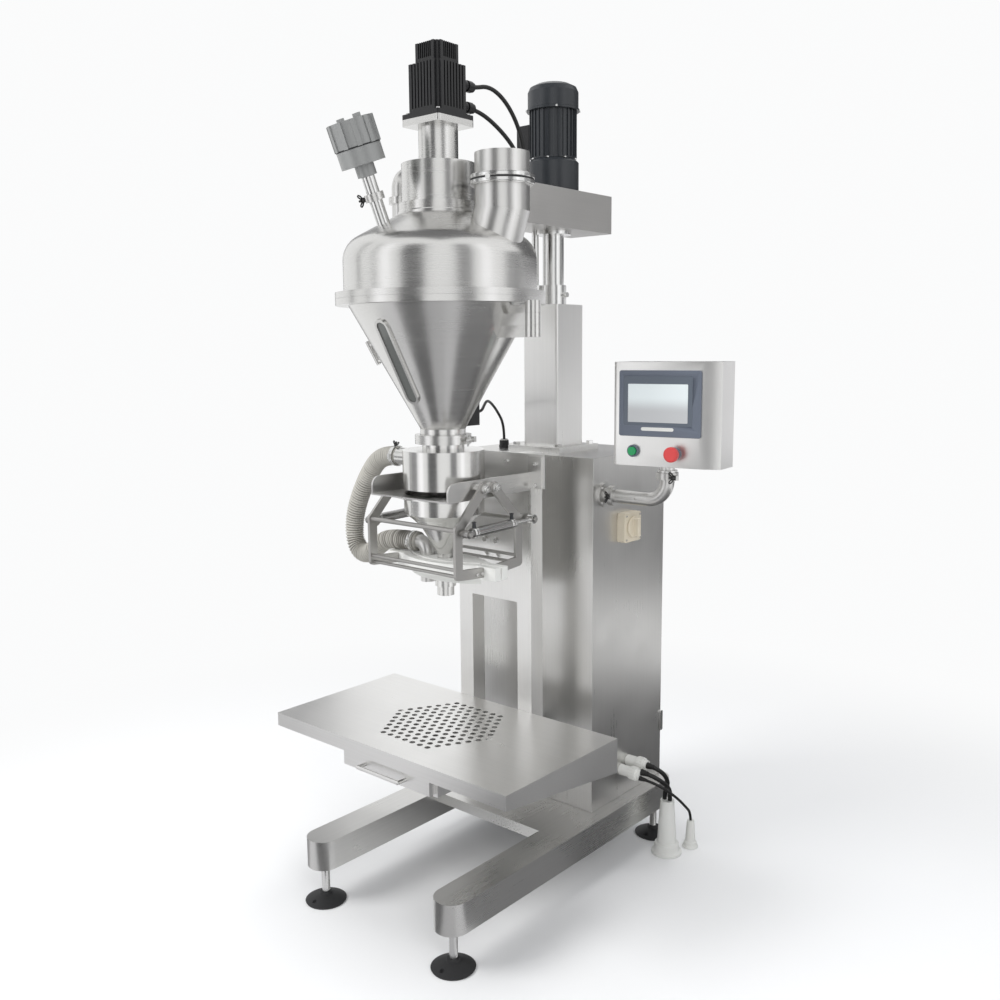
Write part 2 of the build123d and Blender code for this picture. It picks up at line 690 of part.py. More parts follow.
# Lifting column with its base plate and cap
column_outside = extrude(
    Pos(
        0, COLUMN_Y, CABINET_TOP + COLUMN_BASE_THICK
    ) * RectangleRounded(COLUMN_WIDTH, COLUMN_WIDTH, COLUMN_CORNER),
    COLUMN_TOP - COLUMN_BASE_TOP,
)
column_inside = Pos(0, COLUMN_Y, 0) * block(
    COLUMN_WALL - COLUMN_WIDTH / 2, COLUMN_WIDTH / 2 - COLUMN_WALL, COLUMN_WALL - COLUMN_WIDTH / 2,
    COLUMN_WIDTH / 2 - COLUMN_WALL, COLUMN_BASE_TOP, COLUMN_TOP - COLUMN_CAP_THICK,
)
column_base = Pos(0, COLUMN_Y, CABINET_TOP + COLUMN_BASE_THICK / 2) * Box(
    COLUMN_BASE_WIDTH, COLUMN_BASE_WIDTH, COLUMN_BASE_THICK
)
column = column_outside - column_inside + column_base
column -= post(GUIDE_RADIUS + RUNNING, COLUMN_TOP - COLUMN_CAP_THICK, COLUMN_TOP, 0, COLUMN_Y)
guide_rod_at = (GUIDE_ROD_X, COLUMN_Y + GUIDE_ROD_Y)
column -= post(GUIDE_ROD_RADIUS + RUNNING, COLUMN_TOP - COLUMN_CAP_THICK, COLUMN_TOP, *guide_rod_at)
save("column", column)
bolt_offset = COLUMN_BASE_WIDTH / 2 - COLUMN_BOLT_INSET
bolt_head = extrude(Pos(0, 0, COLUMN_BASE_TOP) * RegularPolygon(COLUMN_BOLT_RADIUS, 6), COLUMN_BOLT_HEAD)
save(
    "column_bolts",
    *[
        Pos(x, COLUMN_Y + y, 0) * bolt_head
        for x in (-bolt_offset, bolt_offset) for y in (-bolt_offset, bolt_offset)
    ],
)
collar = pipe(COLLAR_RADIUS, COLLAR_RADIUS - GUIDE_RADIUS - RUNNING, COLUMN_TOP, COLLAR_TOP, 0, COLUMN_Y)
collar += post(GUIDE_ROD_COLLAR, COLUMN_TOP, COLLAR_TOP, *guide_rod_at) - post(
    GUIDE_RADIUS + 1, COLUMN_TOP, COLLAR_TOP, 0, COLUMN_Y
)
collar -= post(GUIDE_ROD_RADIUS + RUNNING, COLUMN_TOP, COLLAR_TOP, *guide_rod_at)
lock_height = COLUMN_TOP + COLLAR_HEIGHT / 2
collar += cross_bar(7, COLLAR_RADIUS - 3, COLLAR_RADIUS + 14, COLUMN_Y, lock_height) - post(
    GUIDE_RADIUS + 1, COLUMN_TOP, COLLAR_TOP, 0, COLUMN_Y
)
save("column_collar", collar)

# Lift: a fixed nut post in the column, and the guide tube, guide rod and screw that ride on the arm
nut_post = pipe(NUT_POST_RADIUS, NUT_POST_RADIUS - NUT_POST_BORE, COLUMN_BASE_TOP, NUT_POST_TOP, 0, COLUMN_Y)
nut_post += pipe(
    NUT_POST_RADIUS, NUT_POST_RADIUS - LIFT_SCREW_RADIUS - RUNNING,
    NUT_POST_TOP - LIFT_NUT_HEIGHT, NUT_POST_TOP, 0, COLUMN_Y,
)
save("lift_nut_post", nut_post)
guide_tube = pipe(GUIDE_RADIUS, GUIDE_WALL, GUIDE_BOTTOM, ARM_BOTTOM, 0, COLUMN_Y)
guide_flange = pipe(
    GUIDE_FLANGE_RADIUS, GUIDE_FLANGE_RADIUS - GUIDE_RADIUS + GUIDE_WALL,
    ARM_BOTTOM - GUIDE_FLANGE_THICK, ARM_BOTTOM, 0, COLUMN_Y,
)
guide_rod = post(GUIDE_ROD_RADIUS, GUIDE_BOTTOM, ARM_BOTTOM, *guide_rod_at)
save(
    "guide_tubes",
    guide_tube + guide_flange - post(GUIDE_ROD_RADIUS + FIT, GUIDE_BOTTOM, ARM_BOTTOM, *guide_rod_at),
    guide_rod,
)
SCREW_TOP = GEARBOX_TOP - GEARBOX_HEIGHT / 2
lift_screw = post(LIFT_SCREW_RADIUS, LIFT_SCREW_BOTTOM, SCREW_TOP, 0, COLUMN_Y)
save("lift_screw", lift_screw)

# Lifting arm: a box section coped round the hopper neck and over the dome
dome_solid = dome(0)
arm = block(-ARM_HALF_WIDTH, ARM_HALF_WIDTH, 0, ARM_REAR, ARM_BOTTOM, ARM_TOP)
arm -= block(
    -ARM_HALF_WIDTH + ARM_WALL, ARM_HALF_WIDTH - ARM_WALL, -ARM_WALL, ARM_REAR - ARM_WALL,
    ARM_BOTTOM + ARM_WALL, ARM_TOP - ARM_WALL,
)
arm -= post(NECK_RING_RADIUS, ARM_BOTTOM, ARM_TOP)
arm += (
    block(-ARM_HALF_WIDTH + ARM_WALL, ARM_HALF_WIDTH - ARM_WALL, 0, NECK_RING_RADIUS + ARM_WALL,
          ARM_BOTTOM + ARM_WALL, ARM_TOP - ARM_WALL)
    - post(NECK_RING_RADIUS, ARM_BOTTOM, ARM_TOP)
)
arm -= post(LIFT_SCREW_RADIUS + 2, ARM_BOTTOM, ARM_TOP, 0, COLUMN_Y)
save("lift_arm", arm - dome_solid)

# Lift gear motor: gearbox, ribbed motor with terminal box, and fan cover
gearbox = Pos(0, COLUMN_Y, 0) * turned([
    (0, ARM_TOP), (GEARBOX_RADIUS, ARM_TOP), (GEARBOX_RADIUS, GEARBOX_TOP - 10),
    (GEARBOX_RADIUS - 10, GEARBOX_TOP), (0, GEARBOX_TOP),
])
gearbox -= post(LIFT_SCREW_RADIUS + RUNNING, ARM_TOP, SCREW_TOP + RUNNING, 0, COLUMN_Y)
lift_motor = post(LIFT_MOTOR_RADIUS, GEARBOX_TOP, LIFT_MOTOR_TOP, 0, COLUMN_Y)
rib = block(
    LIFT_MOTOR_RADIUS - 2, LIFT_MOTOR_RADIUS + LIFT_MOTOR_RIB, -1.5, 1.5, GEARBOX_TOP + 4, LIFT_MOTOR_TOP
)
lift_motor += [
    Pos(0, COLUMN_Y, 0) * Rot(0, 0, 360 / LIFT_MOTOR_RIBS * i) * rib for i in range(LIFT_MOTOR_RIBS)
]
box_x, box_y, box_z = TERMINAL_BOX
terminal_box = Pos(-LIFT_MOTOR_RADIUS - box_x / 2 + 8, COLUMN_Y, GEARBOX_TOP + LIFT_MOTOR_HEIGHT / 2) * Box(
    box_x, box_y, box_z
)
lift_motor += terminal_box
FAN_TOP = LIFT_MOTOR_TOP + FAN_COVER_HEIGHT
fan_cover = Pos(0, COLUMN_Y, 0) * turned([
    (0, LIFT_MOTOR_TOP), (FAN_COVER_RADIUS + 3, LIFT_MOTOR_TOP), (FAN_COVER_RADIUS + 3, LIFT_MOTOR_TOP + 5),
    (FAN_COVER_RADIUS, LIFT_MOTOR_TOP + 7),
    (FAN_COVER_RADIUS, FAN_TOP - 22), (FAN_COVER_RADIUS - 6, FAN_TOP - 9),
    (FAN_COVER_RADIUS - 24, FAN_TOP), (0, FAN_TOP),
])
save("lift_gear_motor", gearbox, lift_motor, fan_cover)

# Pipes on the lid
inlet_turn = degrees(atan2(INLET_Y, INLET_X))
inlet_joint = (INLET_X, INLET_Y, INLET_MITRE)
lean = radians(INLET_LEAN)
inlet_up = Vector(sin(lean) * cos(radians(inlet_turn)), sin(lean) * sin(radians(inlet_turn)), cos(lean))


def inlet_solid(radius):
    """The upright and leaning lengths of the inlet as one mitred solid."""
    cut = Plane(origin=inlet_joint, z_dir=inlet_up + Vector(0, 0, 1))
    upright = post(radius, INLET_MITRE - 2 * INLET_RADIUS, INLET_TOP, INLET_X, INLET_Y)
    foot = Vector(*inlet_joint) - inlet_up * 2.5 * INLET_RADIUS
    head = Vector(*inlet_joint) + inlet_up * INLET_RADIUS
    leaning = rod(tuple(foot), tuple(head), radius)
    return split(upright, bisect_by=cut, keep=Keep.TOP) + split(leaning, bisect_by=cut, keep=Keep.BOTTOM)


inlet_bore = inlet_solid(INLET_RADIUS - INLET_WALL)
inlet_seat = post(INLET_SEAT_RADIUS, INLET_TOP - INLET_SEAT_DEPTH, INLET_TOP, INLET_X, INLET_Y)
save("inlet_pipe", inlet_solid(INLET_RADIUS) - inlet_bore - inlet_seat - dome_solid)

sensor_azimuth = atan2(SENSOR_BASE[1], SENSOR_BASE[0])
sensor_lean = radians(SENSOR_LEAN)
sensor_axis = Vector(
    sin(sensor_lean) * cos(sensor_azimuth), sin(sensor_lean) * sin(sensor_azimuth), cos(sensor_lean)
)
SENSOR_FRAME = Plane(origin=SENSOR_BASE, z_dir=sensor_axis, x_dir=(1, 0, 0))


def on_sensor(solid):
    """Place a solid that was drawn upright on the sensor's leaning axis."""
    return SENSOR_FRAME.location * solid


body_at = SENSOR_NECK_AT + SENSOR_NECK_HEIGHT
cover_at = body_at + SENSOR_BODY_HEIGHT
sensor_socket = on_sensor(pipe(SENSOR_PIPE_RADIUS, SENSOR_PIPE_WALL, -60, SENSOR_CLAMP_AT)) - dome_solid
sensor_stem = on_sensor(
    post(SENSOR_PIPE_RADIUS, SENSOR_CLAMP_AT, SENSOR_NECK_AT)
    + post(SENSOR_NECK_RADIUS, SENSOR_NECK_AT, body_at)
    + post(SENSOR_BODY_RADIUS, body_at, cover_at - 2)
    + post(SENSOR_BODY_RADIUS - 3, cover_at - 2, cover_at)
)
cover_ribs = [
    Rot(0, 0, 360 / SENSOR_COVER_RIBS * i)
    * block(SENSOR_BODY_RADIUS - 4, SENSOR_BODY_RADIUS + 3, -6, 6, cover_at, cover_at + SENSOR_COVER_HEIGHT)
    for i in range(SENSOR_COVER_RIBS)
]
cover_lugs = [
    block(x - 9, x + 9, -5, 5, cover_at + SENSOR_COVER_HEIGHT, cover_at + SENSOR_COVER_HEIGHT + 10)
    for x in (-30, 30)
]
sensor_cover = on_sensor(
    post(SENSOR_BODY_RADIUS, cover_at, cover_at + SENSOR_COVER_HEIGHT) + cover_ribs + cover_lugs
)
save("level_sensor", sensor_socket, sensor_stem, sensor_cover)


def vent_solid(radius):
    """The vent's upright and level lengths as one mitred solid."""
    cut = Plane(origin=(VENT_X, VENT_Y, VENT_ELBOW), z_dir=(0, -1, 1))
    upright = post(radius, DOME_SHOULDER, VENT_ELBOW + 2 * VENT_RADIUS, VENT_X, VENT_Y)
    reach = VENT_LENGTH + 2 * VENT_RADIUS
    level = Pos(
        VENT_X, VENT_Y + VENT_LENGTH - reach / 2, VENT_ELBOW
    ) * Rot(90, 0, 0) * Cylinder(radius, reach)
    return split(upright, bisect_by=cut, keep=Keep.BOTTOM) + split(level, bisect_by=cut, keep=Keep.BOTTOM)


save("vent_elbow", vent_solid(VENT_RADIUS) - vent_solid(VENT_RADIUS - VENT_WALL) - dome_solid)

# Lid: spun dome with a flange and holes for the neck and the pipes
lid = dome_solid - dome(DOME_WALL)
lid -= post(DOME_RADIUS - DOME_WALL, RIM_SPLIT - 1, DOME_SHOULDER)
lid += pipe(RIM_RADIUS, RIM_RADIUS - DOME_RADIUS + DOME_WALL, RIM_SPLIT, RIM_TOP)
lid -= post(NECK_RADIUS + FIT, DOME_SHOULDER, NECK_TOP)
lid -= inlet_bore
lid -= on_sensor(post(SENSOR_PIPE_RADIUS - SENSOR_PIPE_WALL, -60, SENSOR_CLAMP_AT))
lid -= post(VENT_RADIUS - VENT_WALL, DOME_SHOULDER, NECK_TOP, VENT_X, VENT_Y)
save("hopper_lid", lid)

# Neck with the pedestal that carries the servo motor
neck = pipe(NECK_RADIUS, NECK_WALL, NECK_BOTTOM, NECK_TOP)
neck += pipe(NECK_RING_RADIUS - FIT, NECK_RING_RADIUS - FIT - NECK_RADIUS + 1, CROWN_END[1], NECK_RING_TOP)
neck += pipe(NECK_RADIUS, NECK_RADIUS - BEARING_RADIUS, NECK_TOP - NECK_PLATE, NECK_TOP)
neck += pipe(PEDESTAL_RADIUS, PEDESTAL_WALL, NECK_TOP, PEDESTAL_TOP)
adapter = extrude(Pos(0, 0, PEDESTAL_TOP) * RectangleRounded(SERVO_FLANGE, SERVO_FLANGE, 8), ADAPTER_THICK)
neck += adapter - post(COUPLING_RADIUS, PEDESTAL_TOP, ADAPTER_TOP)
save("hopper_neck", neck)
bearing = pipe(BEARING_RADIUS, BEARING_RADIUS - DRIVE_SHAFT_RADIUS - RUNNING, NECK_TOP - NECK_PLATE, NECK_TOP)
save("auger_bearing", bearing)


def finned(width, z0, z1):
    """A square motor housing with upright grooves and notched corners."""
    body = Pos(0, 0, (z0 + z1) / 2) * Box(width, width, z1 - z0)
    pitch = (width - 4 * SERVO_CORNER) / (SERVO_GROOVES - 1)
    for turn in range(4):
        side = Rot(0, 0, 90 * turn)
        for i in range(SERVO_GROOVES):
            x = (i - (SERVO_GROOVES - 1) / 2) * pitch
            body -= side * block(
                x - SERVO_GROOVE_WIDTH / 2, x + SERVO_GROOVE_WIDTH / 2, width / 2 - SERVO_GROOVE_DEPTH, width,
                z0 + SERVO_CORNER, z1,
            )
        body -= side * block(width / 2 - SERVO_CORNER, width, width / 2 - SERVO_CORNER, width, z0, z1)
        body += side * post(SERVO_CORNER / 2, z0, z1, width / 2 - SERVO_CORNER, width / 2 - SERVO_CORNER)
    return body


servo = extrude(Pos(0, 0, ADAPTER_TOP) * RectangleRounded(SERVO_FLANGE, SERVO_FLANGE, 8), SERVO_FLANGE_THICK)
servo += finned(SERVO_BODY, SERVO_FLANGE_TOP, SERVO_BODY_TOP)
for x, z in SERVO_PLUGS:
    servo += Pos(x, SERVO_BODY / 2 + 10, z) * Rot(90, 0, 0) * Cylinder(SERVO_PLUG_RADIUS + 3, 30)
SHAFT_TOP = ADAPTER_TOP + SERVO_FLANGE_THICK / 2
servo -= post(SERVO_SHAFT_RADIUS + RUNNING, ADAPTER_TOP, SHAFT_TOP + RUNNING)
servo_cap = finned(SERVO_CAP, SERVO_BODY_TOP, SERVO_TOP)
save("servo_motor", servo, servo_cap)

# Hopper cone in two halves: the fixed rear shell and the hinged front door
cone_outline = [
    (CONE_BOTTOM_RADIUS - CONE_WALL, CONE_BOTTOM),
    (CONE_BOTTOM_RADIUS, CONE_BOTTOM), (CONE_TOP_RADIUS, RIM_BOTTOM),
    (RIM_RADIUS, RIM_BOTTOM), (RIM_RADIUS, RIM_SPLIT), (CONE_TOP_RADIUS - CONE_WALL, RIM_SPLIT),
    (CONE_TOP_RADIUS - CONE_WALL, RIM_BOTTOM),
]
cone = turned(cone_outline)
cone_core = turned([
    (0, CONE_BOTTOM), (CONE_BOTTOM_RADIUS - 1, CONE_BOTTOM),
    (CONE_TOP_RADIUS - 1, RIM_BOTTOM), (0, RIM_BOTTOM),
])
hinge_bracket = block(
    CONE_BOTTOM_RADIUS, HOPPER_HINGE_X, 0, GUSSET_THICK, HOPPER_HINGE_BOTTOM, RIM_BOTTOM - 6
) - cone_core
HINGE_THIRD = (HOPPER_HINGE_TOP - HOPPER_HINGE_BOTTOM) / 3
HINGE_LOW = HOPPER_HINGE_BOTTOM + HINGE_THIRD
HINGE_HIGH = HOPPER_HINGE_TOP - HINGE_THIRD
hinge_gap = block(
    HOPPER_HINGE_X - HOPPER_HINGE_RADIUS - 2,
    HOPPER_HINGE_X + HOPPER_HINGE_RADIUS + 2, -HOPPER_HINGE_RADIUS - 2,
    HOPPER_HINGE_RADIUS + 2, HINGE_LOW, HINGE_HIGH,
)
rear_knuckles = post(
    HOPPER_HINGE_RADIUS, HOPPER_HINGE_BOTTOM, HOPPER_HINGE_TOP, HOPPER_HINGE_X, 0
) - hinge_gap
hinge_pin = post(HOPPER_HINGE_PIN, HOPPER_HINGE_BOTTOM, HOPPER_HINGE_TOP, HOPPER_HINGE_X, 0)
rear_shell = cone - block(-BIG, BIG, -BIG, 0, 0, BIG)
rear_shell += hinge_bracket - hinge_gap
rear_shell += rear_knuckles + hinge_pin
ferrule_bore = CONE_BOTTOM_RADIUS - CONE_WALL
rear_shell += pipe(CONE_BOTTOM_RADIUS, CONE_WALL, FERRULE_FACE + FERRULE_THICK, CONE_BOTTOM)
rear_shell += pipe(FERRULE_RADIUS, FERRULE_RADIUS - ferrule_bore, FERRULE_FACE, FERRULE_FACE + FERRULE_THICK)
save("hopper_rear_shell", rear_shell)

door = cone - block(-BIG, BIG, -MOVING_GAP, BIG, 0, BIG)
door -= block(-BIG, BIG, -BIG, BIG, 0, CONE_BOTTOM + MOVING_GAP)
door -= block(-BIG, BIG, -BIG, BIG, RIM_SPLIT - MOVING_GAP, BIG)
door_knuckle = pipe(
    HOPPER_HINGE_RADIUS, HOPPER_HINGE_RADIUS - HOPPER_HINGE_PIN - RUNNING,
    HINGE_LOW + MOVING_GAP, HINGE_HIGH - MOVING_GAP, HOPPER_HINGE_X, 0,
)
gusset = block(
    CONE_BOTTOM_RADIUS, HOPPER_HINGE_X - HOPPER_HINGE_PIN - 2, -GUSSET_THICK - MOVING_GAP, -MOVING_GAP,
    HINGE_LOW + MOVING_GAP, HINGE_HIGH - MOVING_GAP,
) - cone_core
door += gusset + door_knuckle
slope_length = hypot(1, CONE_SLOPE)
sight_normal = (0, -1 / slope_length, -CONE_SLOPE / slope_length)
sight_up = (0, -CONE_SLOPE / slope_length, 1 / slope_length)
SIGHT_PLANE = Plane(origin=(0, -cone_radius(SIGHT_CENTRE), SIGHT_CENTRE), z_dir=sight_normal, x_dir=sight_up)


def sight_slab(margin, low, high):
    """A long rounded slab on the sight glass's plane, from one depth to another."""
    outline = SlotOverall(SIGHT_LENGTH - 2 * margin, SIGHT_WIDTH - 2 * margin)
    return extrude(SIGHT_PLANE.offset(low) * outline, high - low)


door -= sight_slab(SIGHT_FRAME / 2, -2 * SIGHT_WIDTH, SIGHT_WIDTH)
door += sight_slab(0, -CONE_WALL - SIGHT_PROUD, SIGHT_PROUD) - sight_slab(
    SIGHT_FRAME, -2 * SIGHT_WIDTH, SIGHT_WIDTH
)
pull_turn = radians(DOOR_PULL_TURN)
pull_out = Vector(cos(pull_turn), sin(pull_turn), 0)
pull_feet = [pull_out * cone_radius(z) + Vector(0, 0, z) for z in DOOR_PULL_HEIGHTS]
pull_ends = [foot + pull_out * DOOR_PULL_REACH for foot in pull_feet]
pull_run = (pull_ends[1] - pull_ends[0]).normalized() * 2 * DOOR_PULL_RADIUS
pull = rod(tuple(pull_ends[0] - pull_run), tuple(pull_ends[1] + pull_run), DOOR_PULL_RADIUS + 1.5)
for foot, end in zip(pull_feet, pull_ends):
    pull += rod(tuple(foot - pull_out * DOOR_PULL_RADIUS), tuple(end), DOOR_PULL_RADIUS)
door += pull - cone_core
save("hopper_door", door)
save("sight_glass", sight_slab(SIGHT_FRAME + FIT, -CONE_WALL, GLASS_THICK - CONE_WALL))

# Auger: shaft, screw flight, agitator and coupling
flight_angle = 360 * AUGER_BLADE / AUGER_PITCH
flight_height = AUGER_TURNS * AUGER_PITCH
flight_face = make_face(
    Curve() + [
        Line((0, 0), (AUGER_RADIUS, 0)),
        ThreePointArc(
            (AUGER_RADIUS, 0),
            (AUGER_RADIUS * cos(radians(flight_angle / 2)), AUGER_RADIUS * sin(radians(flight_angle / 2))),
            (AUGER_RADIUS * cos(radians(flight_angle)), AUGER_RADIUS * sin(radians(flight_angle))),
        ),
        Line((AUGER_RADIUS * cos(radians(flight_angle)), AUGER_RADIUS * sin(radians(flight_angle))), (0, 0)),
    ]
).face()
flight = Pos(0, 0, AUGER_BOTTOM) * Solid.extrude_linear_with_rotation(
    flight_face, (0, 0, 0), (0, 0, flight_height), 360 * AUGER_TURNS
)
shaft = post(AUGER_SHAFT_RADIUS, AUGER_BOTTOM, DRIVE_SHAFT_BOTTOM)
shaft += post(DRIVE_SHAFT_RADIUS, DRIVE_SHAFT_BOTTOM, COUPLING_BOTTOM + COUPLING_HEIGHT / 2)
shaft += post(SERVO_SHAFT_RADIUS, COUPLING_BOTTOM + COUPLING_HEIGHT / 2, SHAFT_TOP)
coupling = post(COUPLING_RADIUS, COUPLING_BOTTOM, COUPLING_BOTTOM + COUPLING_HEIGHT) - shaft
save("auger_screw", shaft + flight, coupling)
wing_top = cone_radius(AGITATOR_TOP) - AGITATOR_WALL_GAP
wing_bottom = cone_radius(AGITATOR_BOTTOM) - AGITATOR_WALL_GAP
agitator = pipe(
    AGITATOR_HUB_RADIUS, AGITATOR_HUB_RADIUS - AUGER_SHAFT_RADIUS,
    AGITATOR_TOP - AGITATOR_HUB_HEIGHT, AGITATOR_TOP,
)
agitator += pipe(
    AGITATOR_HUB_RADIUS, AGITATOR_HUB_RADIUS - AUGER_SHAFT_RADIUS,
    AGITATOR_BOTTOM, AGITATOR_BOTTOM + AGITATOR_HUB_HEIGHT,
)
arm_top = AGITATOR_TOP - AGITATOR_HUB_HEIGHT / 2
arm_bottom = AGITATOR_BOTTOM + AGITATOR_HUB_HEIGHT / 2
for side in (-1, 1):
    agitator += rod(
        (side * AGITATOR_HUB_RADIUS * 0.8, 0, arm_top), (side * wing_top, 0, arm_top), AGITATOR_ROD
    )
    agitator += rod(
        (side * AGITATOR_HUB_RADIUS * 0.8, 0, arm_bottom), (side * wing_bottom, 0, arm_bottom), AGITATOR_ROD
    )
    agitator += rod((side * wing_top, 0, arm_top), (side * wing_bottom, 0, arm_bottom), AGITATOR_ROD)
    agitator += Pos(side * wing_top, 0, arm_top) * Sphere(AGITATOR_ROD)
    agitator += Pos(side * wing_bottom, 0, arm_bottom) * Sphere(AGITATOR_ROD)
save("agitator", agitator)

# Dust chamber and fill tube under the hopper outlet
chamber = pipe(CHAMBER_RADIUS, CHAMBER_WALL, CHAMBER_BOTTOM, CHAMBER_TOP)
chamber += pipe(
    CHAMBER_RADIUS, CHAMBER_RADIUS - FILL_TUBE_RADIUS - FIT, CHAMBER_TOP - CHAMBER_PLATE, CHAMBER_TOP
)
chamber += pipe(CHAMBER_RADIUS, CHAMBER_LIP, CHAMBER_BOTTOM, CHAMBER_BOTTOM + CHAMBER_WALL)
chamber += pipe(CHAMBER_NECK_RADIUS, CHAMBER_WALL, CHAMBER_TOP, FERRULE_FACE)
chamber += pipe(
    FERRULE_RADIUS, FERRULE_RADIUS - CHAMBER_NECK_RADIUS + CHAMBER_WALL,
    FERRULE_FACE - FERRULE_THICK, FERRULE_FACE,
)
spigot_start = CHAMBER_WALL - CHAMBER_RADIUS
chamber += cross_bar(SPIGOT_RADIUS, SPIGOT_END, spigot_start, 0, SPIGOT_HEIGHT) - post(
    CHAMBER_RADIUS - CHAMBER_WALL, CHAMBER_BOTTOM, CHAMBER_TOP
)
chamber -= cross_bar(
    SPIGOT_RADIUS - SPIGOT_WALL, SPIGOT_END, spigot_start + 2 * CHAMBER_WALL, 0, SPIGOT_HEIGHT
)
save("dust_chamber", chamber)
fill_tube = pipe(FILL_TUBE_RADIUS, FILL_TUBE_WALL, FILL_TUBE_BOTTOM, CHAMBER_TOP)
fill_tube += pipe(
    CHAMBER_NECK_RADIUS - CHAMBER_WALL - FIT,
    CHAMBER_NECK_RADIUS - CHAMBER_WALL - FIT - FILL_TUBE_RADIUS + FILL_TUBE_WALL,
    CHAMBER_TOP, CHAMBER_TOP + FILL_COLLAR_THICK,
)
save("fill_tube", fill_tube)


def clamp_band(flange_radius, pipe_radius, z0, z1):
    """A two-lipped band clamp round a pair of flanges, with its wing screw lug."""
    outside = flange_radius + CLAMP_BAND
    band = post(outside, z0, z1) - post(pipe_radius + 1, z0, z1)
    band -= post(flange_radius + FIT, z0 + CLAMP_LIP, z1 - CLAMP_LIP)
    middle = (z0 + z1) / 2
    lug = block(outside - 3, outside + 16, -9, 9, middle - 7, middle + 7)
    screw = rod((outside + 9, -9, middle), (outside + 9, -34, middle), 4)
    return band + lug + screw


band_lip = FERRULE_THICK + CLAMP_LIP
outlet_clamp = Rot(0, 0, 20) * clamp_band(
    FERRULE_RADIUS, CONE_BOTTOM_RADIUS, FERRULE_FACE - band_lip, FERRULE_FACE + band_lip
)
inlet_clamp = Pos(INLET_X, INLET_Y, 0) * (
    post(INLET_RADIUS + CLAMP_BAND, INLET_CLAMP_BOTTOM, INLET_CLAMP_BOTTOM + INLET_CLAMP_HEIGHT)
    - post(INLET_RADIUS + FIT, INLET_CLAMP_BOTTOM, INLET_CLAMP_BOTTOM + INLET_CLAMP_HEIGHT)
)
sensor_clamp = on_sensor(
    pipe(SENSOR_PIPE_RADIUS + CLAMP_BAND, CLAMP_BAND - FIT, SENSOR_CLAMP_AT - SENSOR_CLAMP_HEIGHT / 2,
         SENSOR_CLAMP_AT + SENSOR_CLAMP_HEIGHT / 2)
    + block(-SENSOR_PIPE_RADIUS - CLAMP_BAND - 20, -SENSOR_PIPE_RADIUS - CLAMP_BAND + 2, -5, 5,
            SENSOR_CLAMP_AT - 6, SENSOR_CLAMP_AT + 6)
)
vent_clamp = pipe(
    VENT_RADIUS + CLAMP_BAND, CLAMP_BAND - FIT, VENT_CLAMP_BOTTOM,
    VENT_CLAMP_BOTTOM + VENT_CLAMP_HEIGHT, VENT_X, VENT_Y
)
save("pipe_clamps", outlet_clamp, inlet_clamp, sensor_clamp, vent_clamp)

# Vibrator on the rear shell
vib_x, vib_y, vib_z = VIBRATOR_SIZE
vib_wall = cone_radius(VIBRATOR_HEIGHT)
vibrator = block(
    -vib_x / 2, vib_x / 2, 0, vib_wall + vib_y, VIBRATOR_HEIGHT - vib_z / 2, VIBRATOR_HEIGHT + vib_z / 2
) - turned([
    (0, CONE_BOTTOM - 60), (CONE_BOTTOM_RADIUS - 60 * CONE_SLOPE, CONE_BOTTOM - 60),
    (CONE_TOP_RADIUS, RIM_BOTTOM),
    (0, RIM_BOTTOM),
])
save("vibrator", vibrator)

# Weighing platform: folded sheet with tapering skirts, a drain field of holes and the drawer runners
platform = block(
    -PLATFORM_HALF_WIDTH, PLATFORM_HALF_WIDTH, PLATFORM_FRONT, PLATFORM_REAR, SHEET_BOTTOM, PLATFORM_TOP
)
platform += block(
    -PLATFORM_HALF_WIDTH, PLATFORM_HALF_WIDTH, PLATFORM_FRONT, PLATFORM_FRONT + PLATFORM_SHEET,
    PLATFORM_TOP - PLATFORM_LIP, SHEET_BOTTOM,
)
skirt_face = make_face(Polyline(
    (PLATFORM_FRONT, PLATFORM_TOP - PLATFORM_LIP), (PLATFORM_REAR, PLATFORM_TOP - PLATFORM_SKIRT),
    (PLATFORM_REAR, SHEET_BOTTOM), (PLATFORM_FRONT, SHEET_BOTTOM), close=True,
))
skirt = extrude(Plane.YZ.offset(PLATFORM_HALF_WIDTH - PLATFORM_SHEET) * skirt_face, PLATFORM_SHEET)
platform += mirrored(skirt)
runner = block(
    DRAWER_HALF_WIDTH + MOVING_GAP, DRAWER_HALF_WIDTH + DRAWER_RUNNER, BEAM_FRONT, DRAWER_REAR,
    DRAWER_BOTTOM - DRAWER_RUNNER, SHEET_BOTTOM,
) + block(
    DRAWER_HALF_WIDTH - DRAWER_RUNNER, DRAWER_HALF_WIDTH + DRAWER_RUNNER, BEAM_FRONT, DRAWER_REAR,
    DRAWER_BOTTOM - DRAWER_RUNNER, DRAWER_BOTTOM - MOVING_GAP,
)
platform += mirrored(runner)
row_pitch = HOLE_PITCH * sqrt(3) / 2
rows = int(HOLE_FIELD_RADIUS * sqrt(3) / 2 / row_pitch)
hole_places = []
for row in range(-rows, rows + 1):
    y = row * row_pitch
    half_row = HOLE_FIELD_RADIUS - abs(y) / sqrt(3)
    shift = (row % 2) * HOLE_PITCH / 2
    first = -int((half_row + shift) / HOLE_PITCH)
    for i in range(first, int((half_row - shift) / HOLE_PITCH) + 1):
        hole_places.append((i * HOLE_PITCH + shift, y + HOLE_FIELD_Y))
drain = Sketch() + [Pos(x, y, 0) * Circle(HOLE_RADIUS) for x, y in hole_places]
platform -= extrude(Pos(0, 0, SHEET_BOTTOM) * drain, PLATFORM_SHEET)
save("platform", platform)

